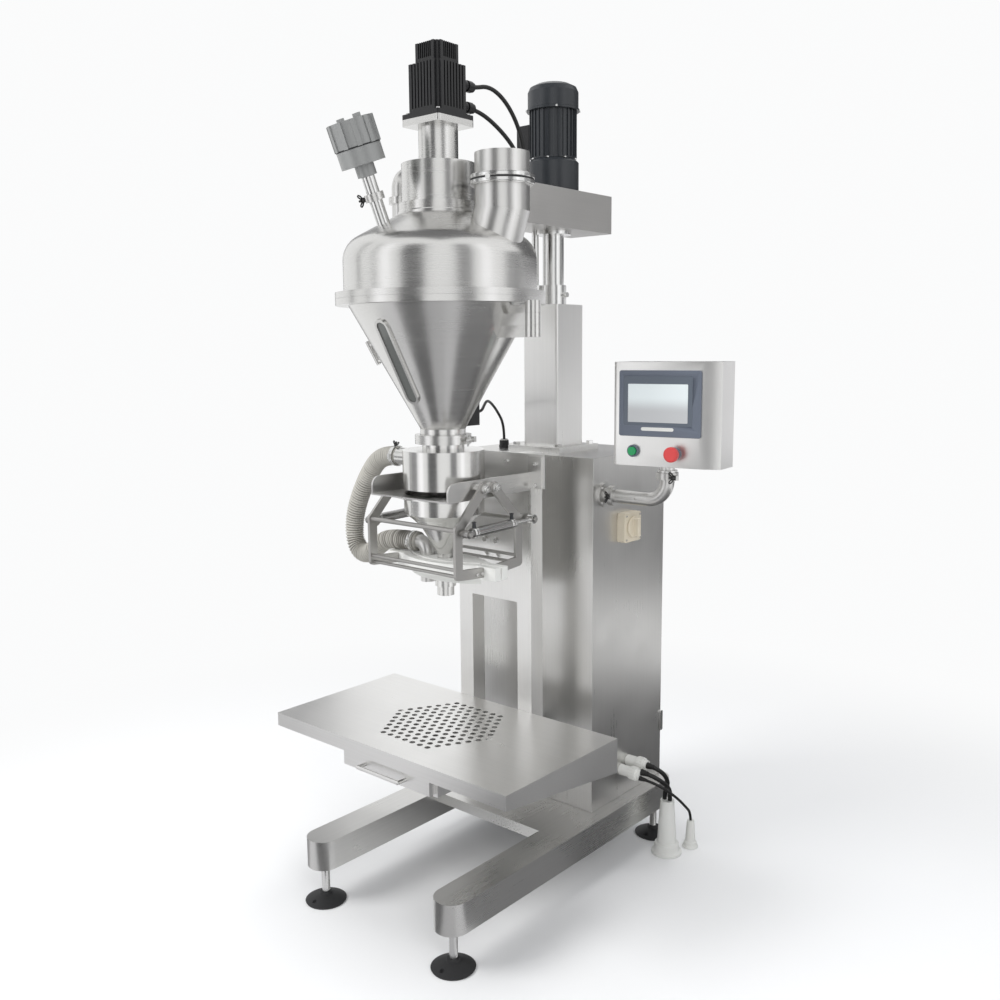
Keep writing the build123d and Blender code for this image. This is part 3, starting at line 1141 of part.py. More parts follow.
# Drawer under the drain field, with its pull
drawer = block(-DRAWER_HALF_WIDTH, DRAWER_HALF_WIDTH, DRAWER_FRONT, DRAWER_REAR, DRAWER_BOTTOM, DRAWER_TOP)
drawer -= block(
    -DRAWER_HALF_WIDTH + DRAWER_WALL, DRAWER_HALF_WIDTH - DRAWER_WALL, DRAWER_FRONT + DRAWER_WALL,
    DRAWER_REAR - DRAWER_WALL, DRAWER_BOTTOM + DRAWER_WALL, DRAWER_TOP,
)
handle_z = (DRAWER_BOTTOM + DRAWER_TOP) / 2
handle_y = DRAWER_FRONT - DRAWER_HANDLE_REACH
half_handle = DRAWER_HANDLE_WIDTH / 2
for x in (-half_handle, half_handle):
    drawer += rod((x, DRAWER_FRONT, handle_z), (x, handle_y, handle_z), DRAWER_HANDLE_RADIUS)
    drawer += Pos(x, handle_y, handle_z) * Sphere(DRAWER_HANDLE_RADIUS)
drawer += cross_bar(DRAWER_HANDLE_RADIUS, -half_handle, half_handle, handle_y, handle_z)
save("dust_drawer", drawer)

# Weigh frame: under-frame beams, two posts and the cross plate between them
post_rear = POST_FRONT + POST_WIDTH
frame_post = block(
    POST_X - POST_WIDTH / 2, POST_X + POST_WIDTH / 2, POST_FRONT, post_rear, POST_BOTTOM, MOUNT_PLATE_TOP
)
frame_post -= block(
    POST_X - POST_WIDTH / 2 + POST_WALL, POST_X + POST_WIDTH / 2 - POST_WALL, POST_FRONT + POST_WALL,
    post_rear - POST_WALL, POST_BOTTOM, MOUNT_PLATE_TOP - POST_WALL,
)
post_inside = POST_X - POST_WIDTH / 2
cross_plate = block(
    -post_inside, post_inside, POST_FRONT, POST_FRONT + CROSS_PLATE_THICK, CROSS_PLATE_BOTTOM, MOUNT_PLATE_TOP
)
beam_outside = BEAM_X + BEAM_WIDTH / 2
side_beam = block(
    BEAM_X - BEAM_WIDTH / 2, beam_outside, BEAM_FRONT, POST_FRONT, SHEET_BOTTOM - BEAM_HEIGHT, SHEET_BOTTOM
) - block(
    BEAM_X - BEAM_WIDTH / 2 + POST_WALL, beam_outside - POST_WALL, BEAM_FRONT, POST_FRONT - BEAM_WIDTH,
    SHEET_BOTTOM - BEAM_HEIGHT + POST_WALL, SHEET_BOTTOM - POST_WALL,
)
rear_beam = block(-beam_outside, beam_outside, POST_FRONT - BEAM_WIDTH, POST_FRONT, POST_BOTTOM, SHEET_BOTTOM)
rear_beam -= block(
    -beam_outside + POST_WALL, beam_outside - POST_WALL,
    POST_FRONT - BEAM_WIDTH + POST_WALL, POST_FRONT - POST_WALL,
    POST_BOTTOM + POST_WALL, SHEET_BOTTOM - POST_WALL,
)
weigh_frame = cross_plate + mirrored(frame_post) + mirrored(side_beam) + rear_beam
save("weigh_frame", weigh_frame)

# Load cell between the weigh frame and the cabinet
cell_top = POST_BOTTOM - LOAD_CELL_SPACER
cell_middle = (LOAD_CELL_FRONT + CABINET_FRONT) / 2
load_cell = block(
    -LOAD_CELL_WIDTH / 2, LOAD_CELL_WIDTH / 2, LOAD_CELL_FRONT,
    CABINET_FRONT, cell_top - LOAD_CELL_HEIGHT, cell_top
)
cell_z = cell_top - LOAD_CELL_HEIGHT / 2
for y in (cell_middle - 18, cell_middle + 18):
    load_cell -= cross_bar(LOAD_CELL_HEIGHT / 2 - 5, -LOAD_CELL_WIDTH, LOAD_CELL_WIDTH, y, cell_z)
load_cell += block(
    -LOAD_CELL_WIDTH / 2, LOAD_CELL_WIDTH / 2, LOAD_CELL_FRONT, POST_FRONT, cell_top, POST_BOTTOM
)
load_cell += block(
    -LOAD_CELL_WIDTH, LOAD_CELL_WIDTH, CABINET_FRONT - 10, CABINET_FRONT,
    cell_top - 2 * LOAD_CELL_HEIGHT, cell_top,
)
save("load_cell", load_cell)

# Bag clamp frame: mount plate on the posts, and two arms joined by the funnel sheet
plate_front_y = POST_FRONT - MOUNT_PLATE_THICK
mount_plate = block(
    -MOUNT_PLATE_HALF_WIDTH, MOUNT_PLATE_HALF_WIDTH, plate_front_y,
    POST_FRONT, MOUNT_PLATE_BOTTOM, MOUNT_PLATE_TOP
)
save("clamp_mount_plate", mount_plate)
arm_face = make_face(Polyline(
    (CLAMP_ARM_FRONT, CLAMP_ARM_BOTTOM), (plate_front_y, CLAMP_ARM_BOTTOM), (plate_front_y, CLAMP_ARM_TOP),
    (CLAMP_ARM_FRONT, CLAMP_ARM_TOP), close=True,
))
arm_face = fillet(arm_face.vertices().sort_by_distance((CLAMP_ARM_FRONT, CLAMP_ARM_TOP))[0], CLAMP_ARM_CORNER)
clamp_arm = extrude(Plane.YZ.offset(CLAMP_ARM_X - CLAMP_ARM_THICK) * arm_face, CLAMP_ARM_THICK)
arm_flange = block(
    CLAMP_ARM_X - CLAMP_ARM_THICK, CLAMP_ARM_X + CLAMP_FLANGE_WIDTH,
    plate_front_y - CLAMP_ARM_THICK, plate_front_y,
    MOUNT_PLATE_BOTTOM, CLAMP_FLANGE_TOP,
)
pivot = cross_bar(PIVOT_RADIUS, CLAMP_ARM_X - CLAMP_ARM_THICK, JAW_OUTER + MOVING_GAP, PIVOT_Y, PIVOT_HEIGHT)
pivot += cross_bar(
    PIVOT_HEAD_RADIUS, JAW_OUTER + MOVING_GAP,
    JAW_OUTER + MOVING_GAP + PIVOT_HEAD_THICK, PIVOT_Y, PIVOT_HEIGHT
)
pivot += cross_bar(PIVOT_HEAD_RADIUS, CLAMP_ARM_X, JAW_INNER - MOVING_GAP, PIVOT_Y, PIVOT_HEIGHT)
arm_side = clamp_arm + arm_flange + pivot + mirror(pivot, about=Plane.XZ)
funnel_sheet = block(
    CLAMP_ARM_THICK - CLAMP_ARM_X, CLAMP_ARM_X - CLAMP_ARM_THICK, CLAMP_ARM_FRONT, CLAMP_SHEET_REAR,
    CLAMP_ARM_BOTTOM, CLAMP_ARM_BOTTOM + CLAMP_SHEET,
) - post(CLAMP_HOLE_RADIUS, CLAMP_ARM_BOTTOM, CLAMP_ARM_BOTTOM + CLAMP_SHEET)
clamp_frame = funnel_sheet + mirrored(arm_side)
save("clamp_frame", clamp_frame)

# Funnel bowl under the sheet, with the outlet nozzle, spout block and suction elbow
bowl_top = CLAMP_ARM_BOTTOM


def bowl_solid(inset):
    """The solid inside the bowl, drawn in by the given amount."""
    outlet = BOWL_OUTLET_RADIUS - inset
    return turned([
        (0, SPOUT_TOP), (outlet, SPOUT_TOP), (outlet, BOWL_OUTLET), (BOWL_WAIST_RADIUS - inset, BOWL_WAIST),
        (BOWL_RADIUS - 18 - inset, BOWL_SHOULDER - 14), (BOWL_RADIUS - inset, BOWL_SHOULDER),
        (BOWL_RADIUS - inset, bowl_top), (0, bowl_top),
    ])


bowl = bowl_solid(0) + post(BOWL_FLANGE_RADIUS, bowl_top - CLAMP_SHEET, bowl_top) - bowl_solid(BOWL_WALL)
save("funnel_bowl", bowl)
nozzle = turned([
    (NOZZLE_BORE, NOZZLE_BOTTOM), (NOZZLE_RADIUS, NOZZLE_BOTTOM), (NOZZLE_RADIUS, NOZZLE_COLLAR_BOTTOM),
    (NOZZLE_COLLAR_RADIUS, NOZZLE_COLLAR_BOTTOM), (NOZZLE_COLLAR_RADIUS, SPOUT_BOTTOM),
    (BOWL_OUTLET_RADIUS, SPOUT_BOTTOM), (BOWL_OUTLET_RADIUS, SPOUT_TOP), (NOZZLE_BORE, SPOUT_TOP),
])
save("outlet_nozzle", nozzle)


def lens(margin):
    """The plan outline of the spout, grown by a margin, as a tall solid."""
    left = post(LENS_RADIUS + margin, 0, BIG, 0, LENS_CENTRE)
    right = post(LENS_RADIUS + margin, 0, BIG, 0, -LENS_CENTRE)
    return left & right


spout = lens(0) & block(-BIG, BIG, -BIG, BIG, SPOUT_BOTTOM, SPOUT_TOP)
spout -= post(BOWL_OUTLET_RADIUS + FIT, SPOUT_BOTTOM, SPOUT_TOP)
spout -= post(SUCTION_RADIUS + FIT, SPOUT_BOTTOM, SPOUT_TOP, SUCTION_X, 0)
save("spout_block", spout)


def suction_solid(radius):
    """The suction stub and its level outlet as one mitred solid."""
    cut = Plane(origin=(SUCTION_X, 0, SUCTION_ELBOW), z_dir=(1, 0, 1))
    upright = post(radius, SUCTION_BOTTOM, SUCTION_ELBOW + 2 * SUCTION_RADIUS, SUCTION_X, 0)
    level = cross_bar(radius, SUCTION_END, SUCTION_X + 2 * SUCTION_RADIUS, 0, SUCTION_ELBOW)
    return split(upright, bisect_by=cut, keep=Keep.BOTTOM) + split(level, bisect_by=cut, keep=Keep.BOTTOM)


save("suction_elbow", suction_solid(SUCTION_RADIUS) - suction_solid(SUCTION_RADIUS - SUCTION_WALL))

# Corrugated dust hose from the chamber's spigot round to the suction elbow
save(
    "dust_hose",
    cord([(SUCTION_END, 0, SUCTION_ELBOW), *HOSE_ROUTE, (SPIGOT_END, 0, SPIGOT_HEIGHT)], HOSE_RADIUS),
)


def flat_bar(start, end, width):
    """A round-ended flat bar outline in the side view, from (y, z) to (y, z)."""
    length = hypot(end[0] - start[0], end[1] - start[1])
    turn = degrees(atan2(end[1] - start[1], end[0] - start[0]))
    middle = Pos((start[0] + end[0]) / 2, (start[1] + end[1]) / 2) * Rot(0, 0, turn)
    return middle * SlotCenterToCenter(length, width)


def jaw_plates(side, pin_y, pin_z):
    """The two side plates of a jaw with the cross rods and cylinder pins; side is -1 at the front."""
    hub = (side * PIVOT_Y, PIVOT_HEIGHT)
    elbow = (side * JAW_ELBOW_Y, JAW_ELBOW_Z)
    heel = (side * JAW_ELBOW_Y, JAW_FOOT_Z)
    toe = (side * GRIP_THICK / 2, JAW_FOOT_Z + JAW_FOOT_RISE)
    outline = flat_bar(hub, elbow, JAW_BAR_WIDTH) + flat_bar(elbow, heel, JAW_BAR_WIDTH)
    outline += flat_bar(heel, toe, JAW_BAR_WIDTH)
    outline += flat_bar(elbow, (pin_y, pin_z), 2 * JAW_EAR_RADIUS)
    outline += Pos(*hub) * Circle(JAW_HUB_RADIUS)
    toe_end = side * (GRIP_MEET + GRIP_THICK)
    outline -= Pos(toe_end - side * BIG / 2, 0) * Rectangle(BIG, 2 * PIVOT_HEIGHT - 4 * JAW_HUB_RADIUS)
    outline += Pos(*hub) * Circle(JAW_HUB_RADIUS)
    outline -= Pos(*hub) * Circle(PIVOT_RADIUS + RUNNING)
    plate = extrude(Plane.YZ.offset(JAW_INNER) * outline, JAW_THICK)
    plate += cross_bar(JAW_PIN_RADIUS, JAW_OUTER, CYLINDER_X + CYLINDER_EYE_WIDTH / 2 + 6, pin_y, pin_z)
    jaw = Part() + mirrored(plate)
    jaw += cross_bar(JAW_ROD_RADIUS, -JAW_INNER, JAW_INNER, side * (JAW_ELBOW_Y + 4), JAW_ELBOW_Z)
    for y, z in ((JAW_ELBOW_Y + 5, JAW_FOOT_Z + 14), (JAW_ELBOW_Y - 2, JAW_FOOT_Z - 4)):
        jaw += cross_bar(JAW_LOWER_ROD_RADIUS, -JAW_INNER, JAW_INNER, side * y, z)
    return jaw


def grip_bar(side):
    """A bowed plastic bar that closes on the spout; side is -1 at the front."""
    bow = post(LENS_RADIUS + GRIP_GAP + GRIP_THICK, GRIP_BOTTOM, GRIP_TOP, 0, -side * LENS_CENTRE)
    bow &= block(
        -GRIP_HALF_LENGTH, GRIP_HALF_LENGTH, -BIG, -GRIP_MEET, GRIP_BOTTOM, GRIP_TOP
    ) if side < 0 else block(
        -GRIP_HALF_LENGTH, GRIP_HALF_LENGTH, GRIP_MEET, BIG, GRIP_BOTTOM, GRIP_TOP
    )
    near, far = sorted((side * GRIP_MEET, side * (GRIP_MEET + GRIP_THICK)))
    bow += block(-GRIP_HALF_LENGTH, GRIP_HALF_LENGTH, near, far, GRIP_BOTTOM, GRIP_TOP)
    return bow - lens(GRIP_GAP)


save("front_jaw", jaw_plates(-1, FRONT_PIN_Y, FRONT_PIN_Z))
save("front_grip_bar", grip_bar(-1))
save("rear_jaw", jaw_plates(1, REAR_PIN_Y, REAR_PIN_Z))
save("rear_grip_bar", grip_bar(1))

# Air cylinders between the jaws, drawn along X from the front pin and then turned into place
CYLINDER_PLACE = Pos(CYLINDER_X, FRONT_PIN_Y, FRONT_PIN_Z) * Rot(CYLINDER_TILT, 0, 0) * Rot(0, 0, 90)


def along(radius, start, end):
    """A round bar along the cylinder's own axis."""
    return Pos((start + end) / 2, 0, 0) * Rot(0, 90, 0) * Cylinder(radius, end - start)


def eye(radius, bore, at):
    """A round eye across the cylinder's axis."""
    turn = Pos(at, 0, 0) * Rot(90, 0, 0)
    return turn * Cylinder(radius, CYLINDER_EYE_WIDTH) - turn * Cylinder(bore, CYLINDER_EYE_WIDTH)


cylinder_end = CYLINDER_START + CYLINDER_LENGTH
barrel = along(CYLINDER_RADIUS, CYLINDER_START, cylinder_end)
barrel += along(CYLINDER_RADIUS - 3, JAW_PIN_RADIUS + 2, CYLINDER_START)
barrel -= eye(CYLINDER_RADIUS - 3, 0.01, 0) - eye(CYLINDER_RADIUS - 3.5, 0.01, 0)
barrel += eye(CYLINDER_RADIUS - 3, JAW_PIN_RADIUS + RUNNING, 0)
barrel -= Rot(90, 0, 0) * Cylinder(JAW_PIN_RADIUS + RUNNING, 2 * CYLINDER_EYE_WIDTH)
barrel -= along(CYLINDER_RADIUS - 2, CYLINDER_START + CYLINDER_CAP, cylinder_end - CYLINDER_CAP)
barrel -= along(CYLINDER_ROD_RADIUS + RUNNING, CYLINDER_START + CYLINDER_CAP, cylinder_end + 1)
piston_rod = along(CYLINDER_ROD_RADIUS, PISTON_AT, CYLINDER_SPAN - ROD_EYE_RADIUS + 2)
piston_rod += along(CYLINDER_RADIUS - 2 - RUNNING, PISTON_AT, PISTON_AT + PISTON_THICK)
piston_rod += eye(ROD_EYE_RADIUS, JAW_PIN_RADIUS + ROD_EYE_CLEARANCE, CYLINDER_SPAN)
save("cylinder_barrels", *mirrored(CYLINDER_PLACE * barrel))
save("cylinder_rods", *mirrored(CYLINDER_PLACE * piston_rod))

# Operator panel: pipe arm on the cabinet, housing, display and push buttons
pipe_start = (CABINET_HALF_WIDTH, PANEL_PIPE_Y, PANEL_PIPE_Z)
pipe_corner = (PANEL_PIPE_X, PANEL_PIPE_Y, PANEL_PIPE_Z)
pipe_end = (PANEL_PIPE_X, PANEL_PIPE_Y, PANEL_PIPE_TOP)
pipe_path = FilletPolyline(pipe_start, pipe_corner, pipe_end, radius=PANEL_PIPE_BEND)
pipe_section = Plane(origin=pipe_start, z_dir=(1, 0, 0))
panel_pipe = sweep(pipe_section * Circle(PANEL_PIPE_RADIUS), path=pipe_path)
panel_pipe -= sweep(pipe_section * Circle(PANEL_PIPE_RADIUS - PANEL_PIPE_WALL), path=pipe_path)
pipe_flange = cross_bar(
    PANEL_CLAMP_RADIUS + 6, CABINET_HALF_WIDTH, CABINET_HALF_WIDTH + 8, PANEL_PIPE_Y, PANEL_PIPE_Z
)
wall_clamp = cross_bar(
    PANEL_CLAMP_RADIUS, CABINET_HALF_WIDTH + 22, CABINET_HALF_WIDTH + 40, PANEL_PIPE_Y, PANEL_PIPE_Z
)
wall_clamp -= cross_bar(
    PANEL_PIPE_RADIUS + FIT, CABINET_HALF_WIDTH, CABINET_HALF_WIDTH + 60, PANEL_PIPE_Y, PANEL_PIPE_Z
)
swivel_clamp = pipe(
    PANEL_CLAMP_RADIUS, PANEL_CLAMP_RADIUS - PANEL_PIPE_RADIUS - FIT,
    PANEL_PIPE_TOP - 18, PANEL_PIPE_TOP, PANEL_PIPE_X, PANEL_PIPE_Y,
)
pipe_flange -= cross_bar(
    PANEL_PIPE_RADIUS, CABINET_HALF_WIDTH, CABINET_HALF_WIDTH + 8, PANEL_PIPE_Y, PANEL_PIPE_Z
)
wing = Rot(0, 0, -35) * block(PANEL_CLAMP_RADIUS - 2, PANEL_CLAMP_RADIUS + 34, -4, 4, -6, 6)
swivel_clamp += Pos(PANEL_PIPE_X, PANEL_PIPE_Y, PANEL_PIPE_TOP - 9) * wing
save("panel_pipe", panel_pipe + pipe_flange, wall_clamp, swivel_clamp)


def housing(inset):
    """Plan outline of the panel housing, drawn in by the given amount."""
    left = PANEL_LEFT - PANEL_LEFT_BEVEL[0]
    right = PANEL_RIGHT + PANEL_RIGHT_BEVEL[0]
    outline = make_face(Polyline(
        (PANEL_LEFT, PANEL_FRONT), (PANEL_RIGHT, PANEL_FRONT), (right, PANEL_FRONT + PANEL_RIGHT_BEVEL[1]),
        (right, PANEL_BACK), (left, PANEL_BACK), (left, PANEL_FRONT + PANEL_LEFT_BEVEL[1]), close=True,
    ))
    return offset(outline, -inset, kind=Kind.INTERSECTION) if inset else outline


def panel_box(centre, size, y0, y1):
    """A box on the panel's front, from its centre and size in the front view."""
    return block(
        centre[0] - size[0] / 2, centre[0] + size[0] / 2, y0,
        y1, centre[1] - size[1] / 2, centre[1] + size[1] / 2
    )


def panel_round(centre, radius, y0, y1):
    """A cylinder along the panel's depth."""
    return Pos(centre[0], (y0 + y1) / 2, centre[1]) * Rot(90, 0, 0) * Cylinder(radius, y1 - y0)


panel_depth = PANEL_FRONT + PANEL_WALL
panel_housing = extrude(Pos(0, 0, PANEL_BOTTOM) * housing(0), PANEL_TOP - PANEL_BOTTOM)
panel_housing -= extrude(
    Pos(0, 0, PANEL_BOTTOM + PANEL_WALL) * housing(PANEL_WALL), PANEL_TOP - PANEL_BOTTOM - 2 * PANEL_WALL
)
body_w, body_h, body_d = DISPLAY_BODY
panel_housing -= panel_box(BEZEL_CENTRE, (body_w + 2 * FIT, body_h + 2 * FIT), PANEL_FRONT, panel_depth)
for place in (START_AT, STOP_AT):
    panel_housing -= panel_round(place, BUTTON_STEM_RADIUS + RUNNING, PANEL_FRONT, panel_depth)
panel_housing += pipe(PANEL_PIPE_RADIUS, PANEL_PIPE_WALL, PANEL_PIPE_TOP + MOVING_GAP, PANEL_BOTTOM)
panel_housing += pipe(
    PANEL_CLAMP_RADIUS - 3, PANEL_CLAMP_RADIUS - 3 - PANEL_PIPE_RADIUS + 1,
    PANEL_PIPE_TOP + MOVING_GAP, PANEL_PIPE_TOP + 6,
)
bezel_front = PANEL_FRONT - BEZEL_PROUD
bezel = panel_box(BEZEL_CENTRE, BEZEL_SIZE, bezel_front, PANEL_FRONT)
bezel = fillet(bezel.edges().filter_by(Axis.Y), 6)
bezel += panel_box(BEZEL_CENTRE, (body_w, body_h), PANEL_FRONT, PANEL_FRONT + body_d)
bezel -= panel_box(SCREEN_CENTRE, SCREEN_SIZE, bezel_front, bezel_front + SCREEN_DEPTH)
screen = panel_box(SCREEN_CENTRE, SCREEN_SIZE, bezel_front, bezel_front + SCREEN_DEPTH)


def button_collar(place, radius):
    """The fixed collar round a push button."""
    collar_front = PANEL_FRONT - COLLAR_DEPTH
    return panel_round(place, radius + COLLAR_RIM, collar_front, PANEL_FRONT) - panel_round(
        place, radius + MOVING_GAP, collar_front, PANEL_FRONT
    )


save("panel_housing", PANEL_PLACE * panel_housing)
save(
    "panel_display", PANEL_PLACE * bezel, PANEL_PLACE * screen,
    PANEL_PLACE * button_collar(START_AT, START_RADIUS),
    PANEL_PLACE * button_collar(STOP_AT, STOP_NECK_RADIUS),
)
stem_end = panel_depth + 12
button_seat = PANEL_FRONT - BUTTON_TRAVEL - 1
start_button = panel_round(START_AT, START_RADIUS, PANEL_FRONT - COLLAR_DEPTH - 6, button_seat)
start_button += panel_round(START_AT, BUTTON_STEM_RADIUS, button_seat, stem_end)
save("start_button", PANEL_PLACE * start_button)
stop_front = PANEL_FRONT - COLLAR_DEPTH - 26
stop_back = stop_front + 14
stop_head = panel_round(STOP_AT, STOP_RADIUS, stop_front, stop_back)
stop_head = chamfer(stop_head.edges().sort_by(Axis.Y)[0], 4)
stop_button = stop_head + panel_round(STOP_AT, STOP_NECK_RADIUS, stop_back, button_seat)
stop_button += panel_round(STOP_AT, BUTTON_STEM_RADIUS, button_seat, stem_end)
save("stop_button", PANEL_PLACE * stop_button)

# Main switch on the cabinet's side
switch_face = CABINET_HALF_WIDTH + SWITCH_THICK
half_switch = SWITCH_SIZE / 2
switch_base = block(
    CABINET_HALF_WIDTH, switch_face, SWITCH_Y - half_switch, SWITCH_Y + half_switch,
    SWITCH_Z - half_switch, SWITCH_Z + half_switch,
)
switch_base = fillet(switch_base.edges().filter_by(Axis.X), 8)
switch_base -= cross_bar(SWITCH_SHAFT_RADIUS + RUNNING, switch_face - 14, switch_face, SWITCH_Y, SWITCH_Z)
save("switch_base", switch_base)
dial_start = switch_face + MOVING_GAP
dial_end = dial_start + SWITCH_DIAL_THICK
grip_w, grip_l, grip_h = SWITCH_GRIP
switch_knob = cross_bar(SWITCH_DIAL_RADIUS, dial_start, dial_end, SWITCH_Y, SWITCH_Z)
switch_knob += cross_bar(SWITCH_SHAFT_RADIUS, switch_face - 12, dial_start, SWITCH_Y, SWITCH_Z)
grip = Pos(dial_end + grip_h / 2, SWITCH_Y, SWITCH_Z) * Box(grip_h, grip_w, grip_l)
switch_knob += fillet(grip.edges().filter_by(Axis.X), 5)
save("switch_knob", switch_knob)

# Cable glands, mains cables and plugs
gland_end = CABINET_HALF_WIDTH + GLAND_LENGTH
glands = [
    cross_bar(GLAND_RADIUS - 3, CABINET_HALF_WIDTH, gland_end - 34, y, z)
    + cross_bar(GLAND_RADIUS, gland_end - 34, gland_end - 10, y, z)
    + cross_bar(GLAND_RADIUS - 4, gland_end - 10, gland_end, y, z)
    for y, z in GLAND_PLACES
]
plugs = [
    Pos(CABINET_HALF_WIDTH + x, y, 0) * turned([
        (0, 0), (radius, 0), (radius, height * 0.05),
        (radius * 0.85, height * 0.08), (radius * 0.8, height * 0.2),
        (radius * 0.64, height * 0.22), (radius * 0.46, height), (0, height),
    ])
    for (x, y), (radius, height) in zip(PLUG_PLACES, PLUG_SIZES)
]
cables = [
    cord([(CABINET_HALF_WIDTH + x, y, z) for x, y, z in route], radius)
    for route, radius in zip(CORD_ROUTES, CORD_RADII)
]
top_gland = post(SMALL_GLAND_RADIUS, CABINET_TOP, CABINET_TOP + TOP_GLAND_HEIGHT, *VIBRATOR_GLAND)
save("cable_glands", *glands, top_gland)
save("power_cords", *cables)
save("power_plugs", *plugs)

# Cables carried on the lifting head
head_cables = []
for (plug_x, plug_z), (gland_x, gland_y), route in zip(SERVO_PLUGS, ARM_GLANDS, SERVO_ROUTES):
    start = (plug_x, SERVO_BODY / 2 + 25, plug_z)
    end = (gland_x, gland_y, ARM_TOP + ARM_GLAND_HEIGHT)
    head_cables.append(cord([start, *route, end], SERVO_CABLE_RADIUS))
    head_cables.append(post(SMALL_GLAND_RADIUS, ARM_TOP, ARM_TOP + ARM_GLAND_HEIGHT, gland_x, gland_y))
save("head_cables", *head_cables)
vib_end = (0, vib_wall + vib_y, VIBRATOR_HEIGHT)
gland_top = (*VIBRATOR_GLAND, CABINET_TOP + TOP_GLAND_HEIGHT)
save("vibrator_cable", cord([vib_end, *VIBRATOR_CABLE_ROUTE, gland_top], VIBRATOR_CABLE_RADIUS))
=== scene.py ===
import math
import bmesh
import bpy
from mathutils import Matrix, Vector


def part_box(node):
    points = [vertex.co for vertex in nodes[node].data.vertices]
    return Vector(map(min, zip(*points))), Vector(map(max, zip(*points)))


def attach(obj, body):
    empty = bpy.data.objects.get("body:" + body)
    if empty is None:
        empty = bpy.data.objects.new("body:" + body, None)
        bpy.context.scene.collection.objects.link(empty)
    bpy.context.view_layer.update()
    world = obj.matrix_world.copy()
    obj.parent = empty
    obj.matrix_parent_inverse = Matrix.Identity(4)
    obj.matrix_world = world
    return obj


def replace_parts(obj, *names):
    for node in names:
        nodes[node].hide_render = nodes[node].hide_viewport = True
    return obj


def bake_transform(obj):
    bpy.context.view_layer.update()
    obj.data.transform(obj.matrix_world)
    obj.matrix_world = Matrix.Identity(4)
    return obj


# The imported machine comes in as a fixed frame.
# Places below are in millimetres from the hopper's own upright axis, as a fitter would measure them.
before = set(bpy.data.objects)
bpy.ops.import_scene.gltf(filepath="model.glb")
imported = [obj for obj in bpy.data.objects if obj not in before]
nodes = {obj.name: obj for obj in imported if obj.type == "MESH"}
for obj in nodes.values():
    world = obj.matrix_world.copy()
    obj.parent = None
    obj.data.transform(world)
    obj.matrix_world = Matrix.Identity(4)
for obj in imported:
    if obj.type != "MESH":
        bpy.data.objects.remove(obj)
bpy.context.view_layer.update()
lid_low, lid_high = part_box("hopper_lid")
fill_axis = (lid_low + lid_high) / 2


def at(x, y, z):
    """A point in metres from millimetres about the hopper's axis."""
    return Vector((fill_axis.x + x / 1000, fill_axis.y + y / 1000, z / 1000))


# Camera: a standing view from the machine's front right corner, at about the operator's eye height.
# Its lens is a normal one and it looks slightly down, so the uprights stay nearly parallel.
camera_yaw = math.radians(40.87)
camera_pitch = math.radians(-8.474)
camera_roll = math.radians(-0.4985)
camera_data = bpy.data.cameras.new("camera")
camera_data.sensor_width = 36
camera_data.lens = 36.232


def placed(name, data):
    """An object of the scene that holds some data."""
    piece = bpy.data.objects.new(name, data)
    bpy.context.scene.collection.objects.link(piece)
    return piece


camera = placed("camera", camera_data)
forward = Vector((
    -math.sin(camera_yaw) * math.cos(camera_pitch),
    math.cos(camera_yaw) * math.cos(camera_pitch),
    math.sin(camera_pitch),
))
level_right = Vector((math.cos(camera_yaw), math.sin(camera_yaw), 0))
level_up = level_right.cross(forward)
right = level_right * math.cos(camera_roll) + level_up * math.sin(camera_roll)
up = right.cross(forward)
turn = Matrix((right, up, -forward)).transposed()
camera.matrix_world = Matrix.Translation(at(1834.45, -1894.96, 1505.94)) @ turn.to_4x4()
bpy.context.scene.camera = camera
bpy.context.scene.view_settings.view_transform = "Standard"

# Studio: a pale floor that runs into a white surround, and three soft lamps.
# Cards stand and lie round the machine, as flags do when polished steel is photographed, but each glows its
# own grey.
# Only gloss shows them: they are painted dark and bright reflections in the steel.
WHITE = (0.965, 0.968, 0.97, 1)
world = bpy.data.worlds.new("studio")
bpy.context.scene.world = world
world.use_nodes = True


def seen_rays(tree):
    """One where a camera, glossy or transmission ray arrives, and zero for the rest."""
    path = tree.nodes.new("ShaderNodeLightPath")
    pair = tree.nodes.new("ShaderNodeMath")
    pair.operation = "MAXIMUM"
    tree.links.new(path.outputs["Is Camera Ray"], pair.inputs[0])
    tree.links.new(path.outputs["Is Glossy Ray"], pair.inputs[1])
    every = tree.nodes.new("ShaderNodeMath")
    every.operation = "MAXIMUM"
    tree.links.new(pair.outputs[0], every.inputs[0])
    tree.links.new(path.outputs["Is Transmission Ray"], every.inputs[1])
    return every.outputs[0]


sky = world.node_tree
sky_soft = sky.nodes["Background"]
sky_soft.inputs["Color"].default_value = (0.95, 0.97, 1.0, 1)
sky_soft.inputs["Strength"].default_value = 0.55
sky_white = sky.nodes.new("ShaderNodeBackground")
sky_white.inputs["Color"].default_value = WHITE
sky_white.inputs["Strength"].default_value = 1.0
sky_mix = sky.nodes.new("ShaderNodeMixShader")
sky.links.new(seen_rays(sky), sky_mix.inputs["Fac"])
sky.links.new(sky_soft.outputs[0], sky_mix.inputs[1])
sky.links.new(sky_white.outputs[0], sky_mix.inputs[2])
sky.links.new(sky_mix.outputs[0], sky.nodes["World Output"].inputs["Surface"])


def new_material(name):
    """An empty procedural material: the material, its tree, its shader and object coordinates."""
    material = bpy.data.materials.new(name)
    material.use_nodes = True
    tree = material.node_tree
    shader = tree.nodes["Principled BSDF"]
    place = tree.nodes.new("ShaderNodeTexCoord")
    return material, tree, shader, place.outputs["Object"]


